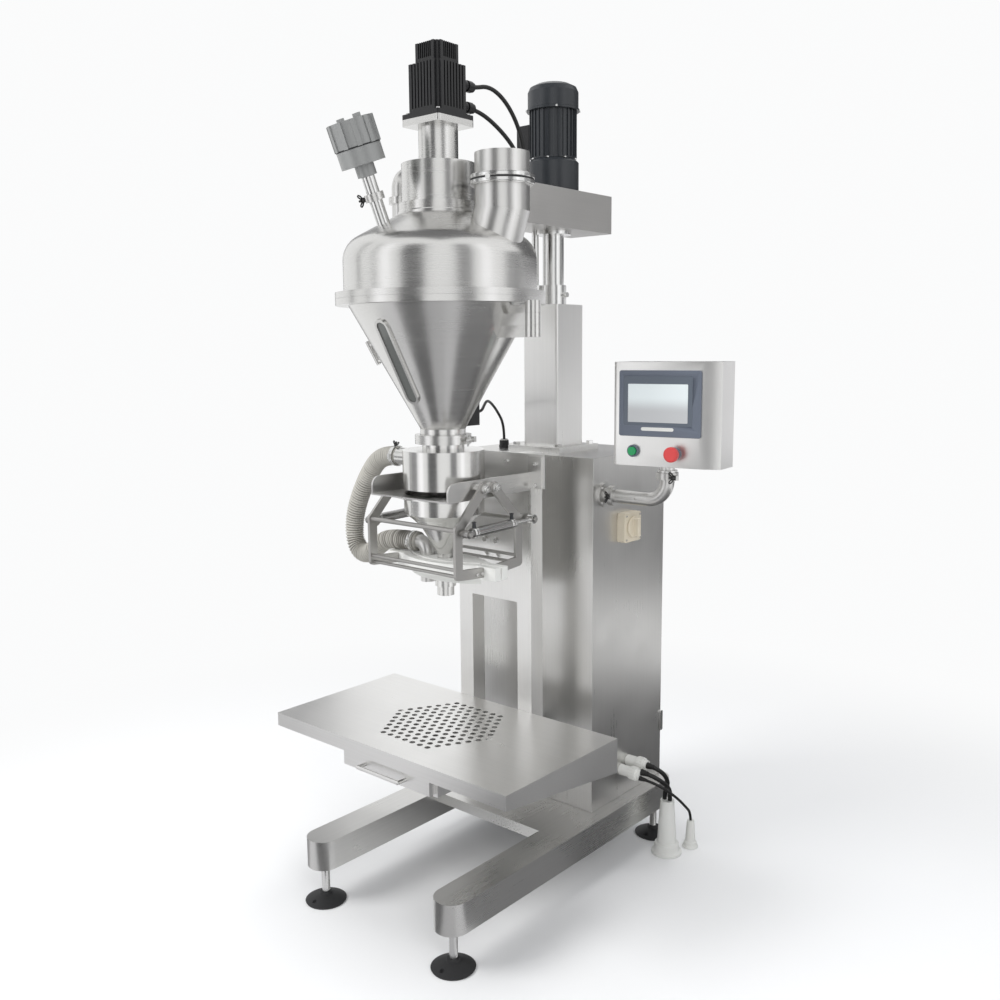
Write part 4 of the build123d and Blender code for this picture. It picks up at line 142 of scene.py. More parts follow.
def studio_sheet(name, corners, material):
    """A plain sheet of the studio, from its corners in order."""
    mesh = bpy.data.meshes.new(name)
    mesh.from_pydata([tuple(c) for c in corners], [], [tuple(range(len(corners)))])
    mesh.materials.append(material)
    sheet = placed(name, mesh)
    return sheet


def flat_panel(name, centre, across, along, material):
    """A square-cornered sheet of the studio, from its centre and two half edges."""
    corners = [centre + across * x + along * y for x, y in ((-1, -1), (1, -1), (1, 1), (-1, 1))]
    return studio_sheet(name, corners, material)


floor_material, floor_tree, floor_shader, floor_place = new_material("studio_floor")
floor_shader.inputs["Base Color"].default_value = (0.93, 0.93, 0.93, 1)
floor_shader.inputs["Roughness"].default_value = 0.9
floor_shader.inputs["Specular IOR Level"].default_value = 0.0
floor_reach = floor_tree.nodes.new("ShaderNodeVectorMath")
floor_reach.operation = "LENGTH"
floor_tree.links.new(floor_place, floor_reach.inputs[0])
floor_fade = floor_tree.nodes.new("ShaderNodeMapRange")
floor_fade.interpolation_type = "SMOOTHSTEP"
floor_fade.inputs["From Min"].default_value = 0.9
floor_fade.inputs["From Max"].default_value = 2.6
floor_tree.links.new(floor_reach.outputs["Value"], floor_fade.inputs["Value"])
floor_seen = floor_tree.nodes.new("ShaderNodeMath")
floor_seen.operation = "MULTIPLY"
floor_tree.links.new(floor_fade.outputs["Result"], floor_seen.inputs[0])
floor_tree.links.new(seen_rays(floor_tree), floor_seen.inputs[1])
floor_glow = floor_tree.nodes.new("ShaderNodeEmission")
floor_glow.inputs["Color"].default_value = WHITE
floor_mix = floor_tree.nodes.new("ShaderNodeMixShader")
floor_tree.links.new(floor_seen.outputs[0], floor_mix.inputs["Fac"])
floor_tree.links.new(floor_shader.outputs[0], floor_mix.inputs[1])
floor_tree.links.new(floor_glow.outputs[0], floor_mix.inputs[2])
floor_tree.links.new(floor_mix.outputs[0], floor_tree.nodes["Material Output"].inputs["Surface"])
floor_material.cycles.emission_sampling = "NONE"
FLOOR_HALF = 14
flat_panel("studio_floor", Vector(), Vector((FLOOR_HALF, 0, 0)), Vector((0, FLOOR_HALF, 0)), floor_material)


def painted_reflection_card(name, level):
    """A black card that glows an even grey of its own, so it looks the same from everywhere: a painted
    reflection for the steel.
    """
    material, _, shader, _ = new_material(name)
    shader.inputs["Base Color"].default_value = (0, 0, 0, 1)
    shader.inputs["Specular IOR Level"].default_value = 0.0
    shader.inputs["Emission Color"].default_value = (level, level, level * 1.02, 1)
    shader.inputs["Emission Strength"].default_value = 1.0
    material.cycles.emission_sampling = "NONE"
    return material


CARD_REACH = 3.3
CARD_TOP = 4.4
FLOOR_CARD_NEAR = 0.3
FLOOR_CARD_FAR = 2.3
FLOOR_CARD_HEIGHT = 0.004
FLOOR_CARD_STEPS = 6
CEILING_HALF = 1.3
cards = []


def round_hopper(azimuth, reach, height):
    """A point of the studio from its azimuth in degrees, its reach and its height in metres."""
    a = math.radians(azimuth)
    return at(0, 0, height * 1000) + Vector((math.cos(a), math.sin(a), 0)) * reach


# Standing cards: each glows its own grey, a painted dark or bright reflection in the steel that faces it.
for card_name, card_azimuth, card_half_width, card_low, card_high, card_reflection_level in (
    ("front_left_card", -77, 13, 0, CARD_TOP, 0.13),
    ("front_right_card", -19, 9, 0, CARD_TOP, 0.26),
    ("right_bright_card", 7, 6, 0, CARD_TOP, 1.3),
    ("right_low_card", 47, 14, 0.1, 0.92, 0.19),
    ("right_high_card", 46, 13, 1.25, 2.6, 0.30),
    ("right_rear_low_card", 93, 32, 0, 0.8, 0.16),
    ("right_rear_band_card", 93, 32, 0.8, 1.9, 0.80),
    ("right_rear_high_card", 93, 32, 1.9, CARD_TOP, 0.14),
    ("rear_card", 152, 6, 0, CARD_TOP, 0.30),
    ("left_line_card", -152, 2.5, 0, CARD_TOP, 0.15),
    ("left_low_card", -135, 12, 0.45, 1.3, 0.30),
    ("left_high_card", -126, 2, 1.6, CARD_TOP, 0.15),
    ("left_front_card", -120, 4, 0.6, 1.6, 1.1),
    ("left_bright_card", -110, 6, 0, CARD_TOP, 1.3),
):
    card_centre = (card_low + card_high) / 2
    card_middle = round_hopper(card_azimuth, CARD_REACH, card_centre)
    card_reach = CARD_REACH / math.cos(math.radians(card_half_width))
    card_side = round_hopper(card_azimuth + card_half_width, card_reach, card_centre) - card_middle
    card_upright = Vector((0, 0, (card_high - card_low) / 2))
    card_reflection_grey = painted_reflection_card(card_name, card_reflection_level)
    cards.append(flat_panel(card_name, card_middle, card_side, card_upright, card_reflection_grey))
# Floor cards glow their own grey too, painting dark and pale reflections of the floor into the lower steel.
for card_name, card_start, card_end, card_reflection_level in (
    ("floor_card_left", -226, -142, 0.34),
    ("floor_card_left_front", -142, -112, 0.72),
    ("floor_card_front_left", -112, -72, 0.14),
    ("floor_card_front", -72, -38, 0.48),
    ("floor_card_front_right", -38, -14, 0.60),
    ("floor_card_right", -14, 40, 0.20),
    ("floor_card_rear", 40, 134, 0.12),
):
    card_turn = card_end - card_start
    card_steps = [card_start + card_turn * i / FLOOR_CARD_STEPS for i in range(FLOOR_CARD_STEPS + 1)]
    card_corners = [round_hopper(a, FLOOR_CARD_NEAR, FLOOR_CARD_HEIGHT) for a in card_steps]
    card_corners += [round_hopper(a, FLOOR_CARD_FAR, FLOOR_CARD_HEIGHT) for a in reversed(card_steps)]
    cards.append(studio_sheet(card_name, card_corners, painted_reflection_card(card_name, card_reflection_level)))
# The ceiling card glows a dark grey, a painted dark reflection in the dome and other upward faces.
cards.append(flat_panel(
    "ceiling_card", at(0, 0, 4300), Vector((CEILING_HALF, 0, 0)), Vector((0, CEILING_HALF, 0)),
    painted_reflection_card("ceiling_card", 0.20),
))
# Hidden from the camera, from diffuse light and from shadows, the cards act only as painted reflections.
for card in cards:
    card.visible_camera = False
    card.visible_diffuse = False
    card.visible_shadow = False
for lamp_name, lamp_place, lamp_aim, lamp_size, lamp_power in (
    ("key_lamp", (-2.0, -3.2, 3.3), (0, 0, 1.2), 1.9, 105),
    ("side_lamp", (3.2, -2.4, 2.6), (0.2, 0, 1.0), 1.5, 42),
    ("top_lamp", (0.0, 0.4, 4.6), (0, 0, 1.0), 2.4, 70),
):
    lamp_data = bpy.data.lights.new(lamp_name, "AREA")
    lamp_data.shape = "SQUARE"
    lamp_data.size = lamp_size
    lamp_data.energy = lamp_power
    lamp = placed(lamp_name, lamp_data)
    lamp.location = lamp_place
    lamp.visible_glossy = False
    lamp.rotation_euler = (Vector(lamp_aim) - Vector(lamp_place)).to_track_quat("-Z", "Y").to_euler()

# Base frame: two round-ended tube legs and a floor plate, welded from brushed stainless steel.
# The brushing runs along the legs, and handling leaves soft smudges in it.
SMUDGE_RANGE = 0.16
LINE_RANGE = 0.12


def noise(tree, place, scale, detail=2.0):
    """A noise pattern laid on a place."""
    pattern = tree.nodes.new("ShaderNodeTexNoise")
    pattern.inputs["Scale"].default_value = scale
    pattern.inputs["Detail"].default_value = detail
    tree.links.new(place, pattern.inputs["Vector"])
    return pattern


def uneven_tint(tree, shader, pattern, tint, spread):
    """Let a pattern sway the base colour a little to both sides of the tint."""
    shade = tree.nodes.new("ShaderNodeMix")
    shade.data_type = "RGBA"
    shade.inputs["A"].default_value = [c * (1 - spread) for c in tint] + [1]
    shade.inputs["B"].default_value = [min(1, c * (1 + spread)) for c in tint] + [1]
    tree.links.new(pattern.outputs["Fac"], shade.inputs["Factor"])
    tree.links.new(shade.outputs["Result"], shader.inputs["Base Color"])


def scaled(tree, pattern, factor, shift):
    """A pattern's value times a factor, plus a shift."""
    sum_node = tree.nodes.new("ShaderNodeMath")
    sum_node.operation = "MULTIPLY_ADD"
    sum_node.inputs[1].default_value = factor
    sum_node.inputs[2].default_value = shift
    tree.links.new(pattern.outputs["Fac"], sum_node.inputs[0])
    return sum_node


def add_relief(tree, shader, pattern, strength, depth):
    """Raise a pattern from the surface, with its depth in metres."""
    relief = tree.nodes.new("ShaderNodeBump")
    relief.inputs["Strength"].default_value = strength
    relief.inputs["Distance"].default_value = depth
    tree.links.new(pattern.outputs["Fac"], relief.inputs["Height"])
    tree.links.new(relief.outputs["Normal"], shader.inputs["Normal"])


def finish_steel(tree, shader, lines, place, tint, rough, contrast, strength):
    """The shared half of all steels: line noise and smudges drive colour, roughness and bump."""
    scratch = noise(tree, lines, 1.0, 4.0)
    scratch.inputs["Roughness"].default_value = 0.65
    smudge = noise(tree, place, 7.0, 3.0)
    uneven_tint(tree, shader, scratch, tint, contrast)
    worn = scaled(tree, smudge, SMUDGE_RANGE, rough - (SMUDGE_RANGE + LINE_RANGE) / 2)
    grain = scaled(tree, scratch, LINE_RANGE, 0)
    tree.links.new(worn.outputs[0], grain.inputs[2])
    tree.links.new(grain.outputs[0], shader.inputs["Roughness"])
    add_relief(tree, shader, scratch, strength, 0.0002)
    shader.inputs["Metallic"].default_value = 1.0


def brushed_steel(name, tint, rough, brush, contrast=0.10):
    """Stainless steel with fine lines. brush is the pattern's scale on each axis, small along the lines."""
    material, tree, shader, place = new_material(name)
    stretch = tree.nodes.new("ShaderNodeMapping")
    stretch.inputs["Scale"].default_value = brush
    tree.links.new(place, stretch.inputs["Vector"])
    finish_steel(tree, shader, stretch.outputs["Vector"], place, tint, rough, contrast, 0.025)
    return material


def dress(material, *names):
    """Give CAD nodes a finish in place of their plain one."""
    for name in names:
        nodes[name].data.materials.clear()
        nodes[name].data.materials.append(material)


CRISP_ANGLE = math.radians(35)
BEVEL_ANGLE = math.radians(40)
SAME_POINT = 0.00002


def finished(name, mesh, material, body, crisp=True):
    """A mesh as a piece of the machine: smooth faces, crisp edges, its finish and the body it rides on."""
    if crisp:
        mesh.shade_smooth()
        mesh.set_sharp_from_angle(angle=CRISP_ANGLE)
    mesh.materials.clear()
    mesh.materials.append(material)
    piece = placed(name, mesh)
    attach(piece, body)
    return piece


def mesh_of(shape, name):
    """A free shape as a plain mesh."""
    mesh = bpy.data.meshes.new(name)
    shape.to_mesh(mesh)
    shape.free()
    return mesh


def settled(piece):
    """The plain mesh that a working object ends up with. The object itself goes."""
    ready = piece.evaluated_get(bpy.context.evaluated_depsgraph_get())
    mesh = bpy.data.meshes.new_from_object(ready)
    bpy.data.objects.remove(piece)
    return mesh


def eased(node, width, material, body, segments=2):
    """A node's own shape with its sharp edges broken, as sheet and castings have them."""
    shape = bmesh.new()
    shape.from_mesh(nodes[node].data)
    bmesh.ops.remove_doubles(shape, verts=shape.verts, dist=SAME_POINT)
    bmesh.ops.dissolve_limit(shape, angle_limit=0.01, verts=shape.verts, edges=shape.edges)
    mesh = mesh_of(shape, node + "_eased")
    mesh.shade_smooth()
    blank = placed(node + "_blank", mesh)
    edge = blank.modifiers.new("edge", "BEVEL")
    edge.width = width
    edge.segments = segments
    edge.limit_method = "ANGLE"
    edge.angle_limit = BEVEL_ANGLE
    edge.use_clamp_overlap = True
    even = blank.modifiers.new("even", "WEIGHTED_NORMAL")
    even.keep_sharp = True
    piece = finished(node + "_eased", settled(blank), material, body, crisp=False)
    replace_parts(piece, node)


STEEL = (0.72, 0.715, 0.70)
PALE_STEEL = (0.88, 0.875, 0.86)
FINE = 240
LONG = 3
steel_along_y = brushed_steel("steel_brushed_lengthwise", STEEL, 0.30, (FINE, LONG, FINE), 0.07)
steel_along_x = brushed_steel("steel_brushed_crosswise", PALE_STEEL, 0.32, (LONG, FINE, FINE), 0.06)
steel_upright = brushed_steel("steel_brushed_upright", STEEL, 0.31, (FINE, FINE, LONG), 0.06)
steel_upright_pale = brushed_steel("steel_brushed_upright_pale", PALE_STEEL, 0.31, (FINE, FINE, LONG), 0.06)
dress(steel_along_y, "base_frame")

# Levelling feet: black rubber pads with threaded bright spindles and lock nuts.
# Each spindle's thread is cut, so its crests stand as close rings between pad and leg.
WEAR_RANGE = 0.18
UPWARD = (0, 0, 1)


def moulded(name, tint, rough, grain, depth, mottle=0.06):
    """A moulded or painted surface: a fine grain in relief and a faint unevenness of colour."""
    material, tree, shader, place = new_material(name)
    pores = noise(tree, place, grain, 3.0)
    cloud = noise(tree, place, 14.0)
    uneven_tint(tree, shader, cloud, tint, mottle)
    wear = scaled(tree, cloud, WEAR_RANGE, rough - WEAR_RANGE / 2)
    tree.links.new(wear.outputs[0], shader.inputs["Roughness"])
    add_relief(tree, shader, pores, 0.35, depth)
    return material


def add_turned(shape, foot, direction, profile, sides=24):
    """A turned shape on a foot point: profile is (radius, height) in millimetres along the direction."""
    axis = Vector(direction).normalized()
    across = axis.orthogonal().normalized()
    other = axis.cross(across)
    rings = []
    for radius, height in profile:
        ring = []
        for i in range(sides):
            angle = 2 * math.pi * (i + 0.5) / sides
            out = across * math.cos(angle) + other * math.sin(angle)
            ring.append(shape.verts.new(foot + axis * height / 1000 + out * radius / 1000))
        rings.append(ring)
    for low, high in zip(rings, rings[1:]):
        for i in range(sides):
            j = (i + 1) % sides
            shape.faces.new((low[i], low[j], high[j], high[i]))
    shape.faces.new(rings[0][::-1])
    shape.faces.new(rings[-1])


def turned(name, foot, direction, profile, sides, material, body):
    """One turned piece on its own."""
    shape = bmesh.new()
    add_turned(shape, foot, direction, profile, sides)
    return finished(name, mesh_of(shape, name), material, body)


def stand_tree():
    """Geometry nodes that stand one shape on each point of a mesh, turned by the point's own angles."""
    tree = bpy.data.node_groups.new("stand_on_points", "GeometryNodeTree")
    tree.interface.new_socket("Points", in_out="INPUT", socket_type="NodeSocketGeometry")
    shape = tree.interface.new_socket("Shape", in_out="INPUT", socket_type="NodeSocketObject")
    finish = tree.interface.new_socket("Finish", in_out="INPUT", socket_type="NodeSocketMaterial")
    size = tree.interface.new_socket("Size", in_out="INPUT", socket_type="NodeSocketFloat")
    tree.interface.new_socket("Pieces", in_out="OUTPUT", socket_type="NodeSocketGeometry")
    start = tree.nodes.new("NodeGroupInput")
    end = tree.nodes.new("NodeGroupOutput")
    source = tree.nodes.new("GeometryNodeObjectInfo")
    angles = tree.nodes.new("GeometryNodeInputNamedAttribute")
    angles.data_type = "FLOAT_VECTOR"
    angles.inputs["Name"].default_value = "turn"
    stand = tree.nodes.new("GeometryNodeInstanceOnPoints")
    solid = tree.nodes.new("GeometryNodeRealizeInstances")
    coat = tree.nodes.new("GeometryNodeSetMaterial")
    tree.links.new(start.outputs["Points"], stand.inputs["Points"])
    tree.links.new(start.outputs["Shape"], source.inputs["Object"])
    tree.links.new(source.outputs["Geometry"], stand.inputs["Instance"])
    tree.links.new(angles.outputs["Attribute"], stand.inputs["Rotation"])
    tree.links.new(start.outputs["Size"], stand.inputs["Scale"])
    tree.links.new(stand.outputs["Instances"], solid.inputs["Geometry"])
    tree.links.new(solid.outputs["Geometry"], coat.inputs["Geometry"])
    tree.links.new(start.outputs["Finish"], coat.inputs["Material"])
    tree.links.new(coat.outputs["Geometry"], end.inputs["Pieces"])
    return tree, shape.identifier, finish.identifier, size.identifier


stand_nodes, SHAPE_INPUT, FINISH_INPUT, SIZE_INPUT = stand_tree()


def stand_on(name, profile, sides, spots, material, body, size=1.0):
    """One small turned shape repeated at (point, direction) spots, as a single plain mesh on a body."""
    unit = bmesh.new()
    add_turned(unit, Vector(), UPWARD, profile, sides)
    unit_piece = bpy.data.objects.new(name + "_unit", mesh_of(unit, name + "_unit"))
    points = bpy.data.meshes.new(name + "_points")
    points.from_pydata([tuple(point) for point, direction in spots], [], [])
    angles = points.attributes.new("turn", "FLOAT_VECTOR", "POINT")
    for row, (point, direction) in zip(angles.data, spots):
        row.vector = Vector(direction).to_track_quat("Z", "Y").to_euler()
    holder = placed(name + "_holder", points)
    modifier = holder.modifiers.new("stand", "NODES")
    modifier.node_group = stand_nodes
    modifier[SHAPE_INPUT] = unit_piece
    modifier[FINISH_INPUT] = material
    modifier[SIZE_INPUT] = size
    mesh = settled(holder)
    bpy.data.objects.remove(unit_piece)
    return finished(name, mesh, material, body)


rubber = moulded("black_rubber", (0.022, 0.022, 0.023), 0.62, 700, 0.0003)
bright_bar = brushed_steel("bright_turned_bar", (0.78, 0.78, 0.77), 0.20, (500, 500, 900), 0.05)
dress(rubber, "foot_pads")
dress(bright_bar, "foot_spindles")
spindle_low, spindle_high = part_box("foot_spindles")
spindle_inset = 0.017
THREAD_FOOT = 30
THREAD_HEAD = 90
THREAD_PITCH = 3
thread_spots = [
    (Vector((x, y, z / 1000)), UPWARD)
    for x in (spindle_low.x + spindle_inset, spindle_high.x - spindle_inset)
    for y in (spindle_low.y + spindle_inset, spindle_high.y - spindle_inset)
    for z in range(THREAD_FOOT, THREAD_HEAD, THREAD_PITCH)
]
stand_on(
    "spindle_threads", [(9.5, -1.2), (10.6, -0.2), (10.6, 0.2), (9.5, 1.2)], 20,
    thread_spots, bright_bar, "base",
)

# Cabinet: folded stainless sheet, brushed upright, with its rear door, turn latch and main switch.
# The folds leave the sheet's edges softly rounded. Four screws hold the switch's base.
eased("cabinet_shell", 0.0025, steel_upright, "base", 3)
dress(steel_upright, "rear_door")
dress(bright_bar, "rear_door_latch")
gear_case = moulded("gear_cases", (0.28, 0.29, 0.30), 0.5, 500, 0.0002)
dress(gear_case, "control_gear")
beige_case = moulded("beige_moulding", (0.70, 0.63, 0.50), 0.45, 600, 0.0002)
eased("switch_base", 0.002, beige_case, "base")
eased("switch_knob", 0.0015, beige_case, "switch_knob")
SOCKET_SCREW = [(5.0, 0), (5.0, 4.4), (4.5, 5.0), (2.8, 5.0), (2.6, 2.4), (0.05, 2.4)]
HEX_HEAD = [(8.6, 0), (8.6, 4.8), (7.6, 5.6), (0.05, 5.6)]
SWITCH_FACE = 271
SWITCH_MIDDLE = (490, 1004)
switch_spread = (-34, 34)
stand_on(
    "switch_screws", SOCKET_SCREW, 18,
    [
        (at(SWITCH_FACE, SWITCH_MIDDLE[0] + y, SWITCH_MIDDLE[1] + z), (1, 0, 0))
        for y in switch_spread for z in switch_spread
    ],
    bright_bar, "base", 0.55,
)

# Mains leads: pale threaded glands in the cabinet's side, black round cables and two pale plugs by the leg.
# Each cable leaves its gland straight, through a tapered rubber sleeve, and drops into its plug.
white_case = moulded("white_moulding", (0.74, 0.74, 0.71), 0.40, 500, 0.0002, 0.03)
cable_sheath = moulded("cable_sheath", (0.010, 0.010, 0.010), 0.45, 800, 0.0002)
eased("cable_glands", 0.0012, white_case, "base")
eased("power_plugs", 0.0015, white_case, "base")
gland_rib = [(1.4, -10.5), (1.6, -9.5), (1.6, 9.5), (1.4, 10.5)]
GLAND_MIDDLE = 293
GLAND_RADIUS = 18.6
GLAND_RIBS = 16
gland_ribs = []
for gland_y, gland_z in ((514, 292), (478, 274)):
    for rib in range(GLAND_RIBS):
        angle = 2 * math.pi * rib / GLAND_RIBS
        rib_y = gland_y + GLAND_RADIUS * math.cos(angle)
        rib_z = gland_z + GLAND_RADIUS * math.sin(angle)
        gland_ribs.append((at(GLAND_MIDDLE, rib_y, rib_z), (1, 0, 0)))
stand_on("gland_ribs", gland_rib, 6, gland_ribs, white_case, "base")


def smooth_line(name, points, fineness):
    """The free line of a cord: one open spline that has the route's points as its control points."""
    line = bpy.data.curves.new(name, "CURVE")
    line.dimensions = "3D"
    line.resolution_u = fineness
    spline = line.splines.new("NURBS")
    spline.points.add(len(points) - 1)
    for spot, point in zip(spline.points, points):
        spot.co = (*point, 1)
    spline.order_u = 3
    spline.use_endpoint_u = True
    return placed(name, line)


def round_cable(name, points, radius, material, body):
    """A plain round cable on a smooth line, with closed ends."""
    cable = smooth_line(name, points, 16)
    cable.data.bevel_depth = radius / 1000
    cable.data.bevel_resolution = 5
    cable.data.use_fill_caps = True
    cable.data.materials.append(material)
    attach(cable, body)
    return cable


CABINET_SIDE = 245
mains_routes = (
    ("mains_cable_upper", 6.5, 0.182, [
        (70, 514, 292), (96, 514, 292), (115, 534, 272), (113, 562, 236),
        (94, 582, 204), (87, 586, 188), (87, 586, 168),
    ]),
    ("mains_cable_middle", 6.5, 0.192, [
        (70, 484, 281), (96, 484, 281), (120, 506, 262), (124, 542, 232),
        (112, 574, 202), (105, 586, 188), (105, 586, 168),
    ]),
    ("mains_cable_lower", 4, 0.309, [
        (70, 474, 266), (98, 474, 266), (131, 500, 246), (147, 560, 196),
        (139, 626, 140), (132, 660, 112), (132, 664, 85),
    ]),
)
mains_cables = []
for cable_name, cable_radius, cable_length, cable_route in mains_routes:
    route = [at(CABINET_SIDE + x, y, z) for x, y, z in cable_route]
    cable = round_cable(cable_name, route, cable_radius, cable_sheath, "base")
    sleeve_profile = [
        (cable_radius + over, along) for over, along in ((3.2, -2), (3.2, 3), (2.6, 4), (0.5, 22), (-1, 22))
    ]
    sleeve_piece = turned(
        cable_name + "_sleeve", route[0], (1, 0, 0), sleeve_profile, 20, cable_sheath, "base",
    )
    mains_cables.append(cable)
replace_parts(mains_cables[0], "power_cords")

# Lifting column: square tube with a bolted base plate and a guide collar, and bright guide tubes.
# The lifting screw and its nut post run inside it, out of sight.
dress(steel_upright_pale, "column")
dress(bright_bar, "column_bolts", "column_collar", "guide_tubes")
dress(bright_bar, "lift_nut_post", "lift_screw")

# Lifting arm and its gear motor: a welded box, and a charcoal-painted motor with cast ribs.
# Bright screws hold the fan cover and the gearbox.
arm_steel = brushed_steel("steel_arm_matt", (0.60, 0.59, 0.575), 0.40, (420, 5, 420), 0.06)
eased("lift_arm", 0.003, arm_steel, "head", 3)
motor_paint = moulded("charcoal_paint", (0.026, 0.029, 0.033), 0.30, 380, 0.0003)
dress(motor_paint, "lift_gear_motor")
MOTOR_Y = 470


def rounded_box(name, centre, size, edge, material, body):
    """A moulded box with rounded edges, from its centre and its size in millimetres."""
    shape = bmesh.new()
    bmesh.ops.create_cube(shape, size=1)
    for vertex in shape.verts:
        vertex.co = centre + Vector([c * s / 1000 for c, s in zip(vertex.co, size)])
    bmesh.ops.bevel(
        shape, geom=shape.edges[:], offset=edge / 1000, segments=3, profile=0.5, affect="EDGES",
    )
    finished(name, mesh_of(shape, name), material, body)


terminal_black = moulded("terminal_box_black", (0.008, 0.008, 0.009), 0.34, 500, 0.0002)
rounded_box("terminal_box_cover", at(-79, MOTOR_Y, 2106.5), (48, 80, 70), 4, terminal_black, "head")
FAN_COVER_RADIUS = 75
FAN_SCREW_HEIGHT = 2174.5
GEARBOX_BOLT_RADIUS = 64
GEARBOX_TOP = 2039


def round_motor(angle, radius, height):
    """A point round the gear motor's axis, from an angle in radians and millimetres."""
    return at(radius * math.cos(angle), MOTOR_Y + radius * math.sin(angle), height)


stand_on(
    "fan_cover_screws", SOCKET_SCREW, 18,
    [
        (round_motor(a, FAN_COVER_RADIUS, FAN_SCREW_HEIGHT), (math.cos(a), math.sin(a), 0))
        for a in (math.radians(45 + 90 * i) for i in range(4))
    ],
    bright_bar, "head", 0.6,
)
stand_on(
    "gearbox_bolts", HEX_HEAD, 6,
    [
        (round_motor(a, GEARBOX_BOLT_RADIUS, GEARBOX_TOP), UPWARD)
        for a in (math.radians(22.5 + 45 * i) for i in range(8))
    ],
    bright_bar, "head", 0.62,
)

# Hopper lid and neck: spun and polished stainless steel, brushed round their axis.
# The neck's pedestal ends in the machined plate that carries the servo motor.


def spun_steel(name, tint, rough, axis_point, contrast=0.06):
    """Stainless steel polished on a lathe: fine lines that run round an upright axis."""
    material, tree, shader, place = new_material(name)
    shift = tree.nodes.new("ShaderNodeVectorMath")
    shift.operation = "SUBTRACT"
    shift.inputs[1].default_value = axis_point
    tree.links.new(place, shift.inputs[0])
    parts = tree.nodes.new("ShaderNodeSeparateXYZ")
    tree.links.new(shift.outputs["Vector"], parts.inputs[0])
    flat = tree.nodes.new("ShaderNodeCombineXYZ")
    tree.links.new(parts.outputs["X"], flat.inputs["X"])
    tree.links.new(parts.outputs["Y"], flat.inputs["Y"])
    reach = tree.nodes.new("ShaderNodeVectorMath")
    reach.operation = "LENGTH"
    tree.links.new(flat.outputs[0], reach.inputs[0])
    lines = tree.nodes.new("ShaderNodeCombineXYZ")
    tree.links.new(reach.outputs["Value"], lines.inputs["X"])
    tree.links.new(parts.outputs["Z"], lines.inputs["Z"])
    swirl = tree.nodes.new("ShaderNodeVectorMath")
    swirl.operation = "SCALE"
    swirl.inputs["Scale"].default_value = FINE
    tree.links.new(lines.outputs[0], swirl.inputs[0])
    sway = tree.nodes.new("ShaderNodeVectorMath")
    sway.operation = "MULTIPLY_ADD"
    sway.inputs[1].default_value = (6, 6, 6)
    tree.links.new(place, sway.inputs[0])
    tree.links.new(swirl.outputs["Vector"], sway.inputs[2])
    finish_steel(tree, shader, sway.outputs["Vector"], place, tint, rough, contrast, 0.006)
    return material


hopper_axis = tuple(at(0, 0, 0))
spun_about_hopper = spun_steel("steel_spun_hopper", STEEL, 0.26, hopper_axis)
dress(spun_about_hopper, "hopper_lid", "hopper_neck")
dress(bright_bar, "auger_bearing")
turned(
    "neck_weld_ring", Vector((fill_axis.x, fill_axis.y, lid_high.z)), UPWARD,
    [(95, -5), (105, -5), (106, -3), (106, 2), (105, 4), (95, 4)], 72, spun_about_hopper, "head",
)

# Servo motor: a black anodised finned housing on a bright adapter plate, with two round plugs at its back.
# Their cables arch over to two glands in the lifting arm.
anodised = moulded("black_anodised", (0.009, 0.009, 0.010), 0.30, 900, 0.0002)
dress(anodised, "servo_motor")
SERVO_FLANGE_TOP = 2087
servo_spread = (-53, 53)
stand_on(
    "servo_flange_screws", SOCKET_SCREW, 18,
    [(at(x, y, SERVO_FLANGE_TOP), UPWARD) for x in servo_spread for y in servo_spread],
    bright_bar, "head",
)
servo_routes = (
    ("servo_power_cable", 0.359, [
        (14, 81, 2172), (14, 118, 2172), (20, 172, 2186), (30, 222, 2160),
        (37, 264, 2108), (36, 292, 2050), (34, 300, 2000), (34, 300, 1970),
    ]),
    ("servo_signal_cable", 0.254, [
        (14, 81, 2120), (14, 112, 2120), (24, 150, 2108), (40, 190, 2078),
        (54, 226, 2040), (62, 250, 1998), (62, 250, 1970),
    ]),
)
cable_nut = [
    (13, -2), (13, 5), (11.5, 5.5), (11.5, 9), (14.5, 9.5), (14.5, 25), (13.5, 26), (12.4, 26.5), (12.4, 33),
    (9, 37), (7, 38), (5, 38),
]
arm_gland = [(13, 0), (13, 10), (11, 10.5), (10.5, 16), (8, 18), (5, 18)]
servo_cables = []
for cable_name, cable_length, cable_route in servo_routes:
    route = [at(x, y, z) for x, y, z in cable_route]
    cable = round_cable(cable_name, route, 5.5, cable_sheath, "head")
    nut = bmesh.new()
    add_turned(nut, route[0], (0, 1, 0), cable_nut, 20)
    add_turned(nut, route[-1] - Vector((0, 0, 0.018)), UPWARD, arm_gland, 20)
    nut_name = cable_name + "_nuts"
    nut_piece = finished(nut_name, mesh_of(nut, nut_name), anodised, "head")
    servo_cables.append(cable)
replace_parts(servo_cables[0], "head_cables")

# Pipes on the lid: the powder inlet, a bent vent pipe and a level sensor with a cast head.
# All are welded or seated in the lid, and their band clamps close with small screws and wing nuts.
dress(steel_upright, "inlet_pipe")
cast_aluminium = moulded("cast_aluminium", (0.34, 0.345, 0.34), 0.42, 420, 0.0004)
cast_aluminium.node_tree.nodes["Principled BSDF"].inputs["Metallic"].default_value = 0.55
eased("level_sensor", 0.0015, cast_aluminium, "head")
dress(spun_about_hopper, "pipe_clamps")


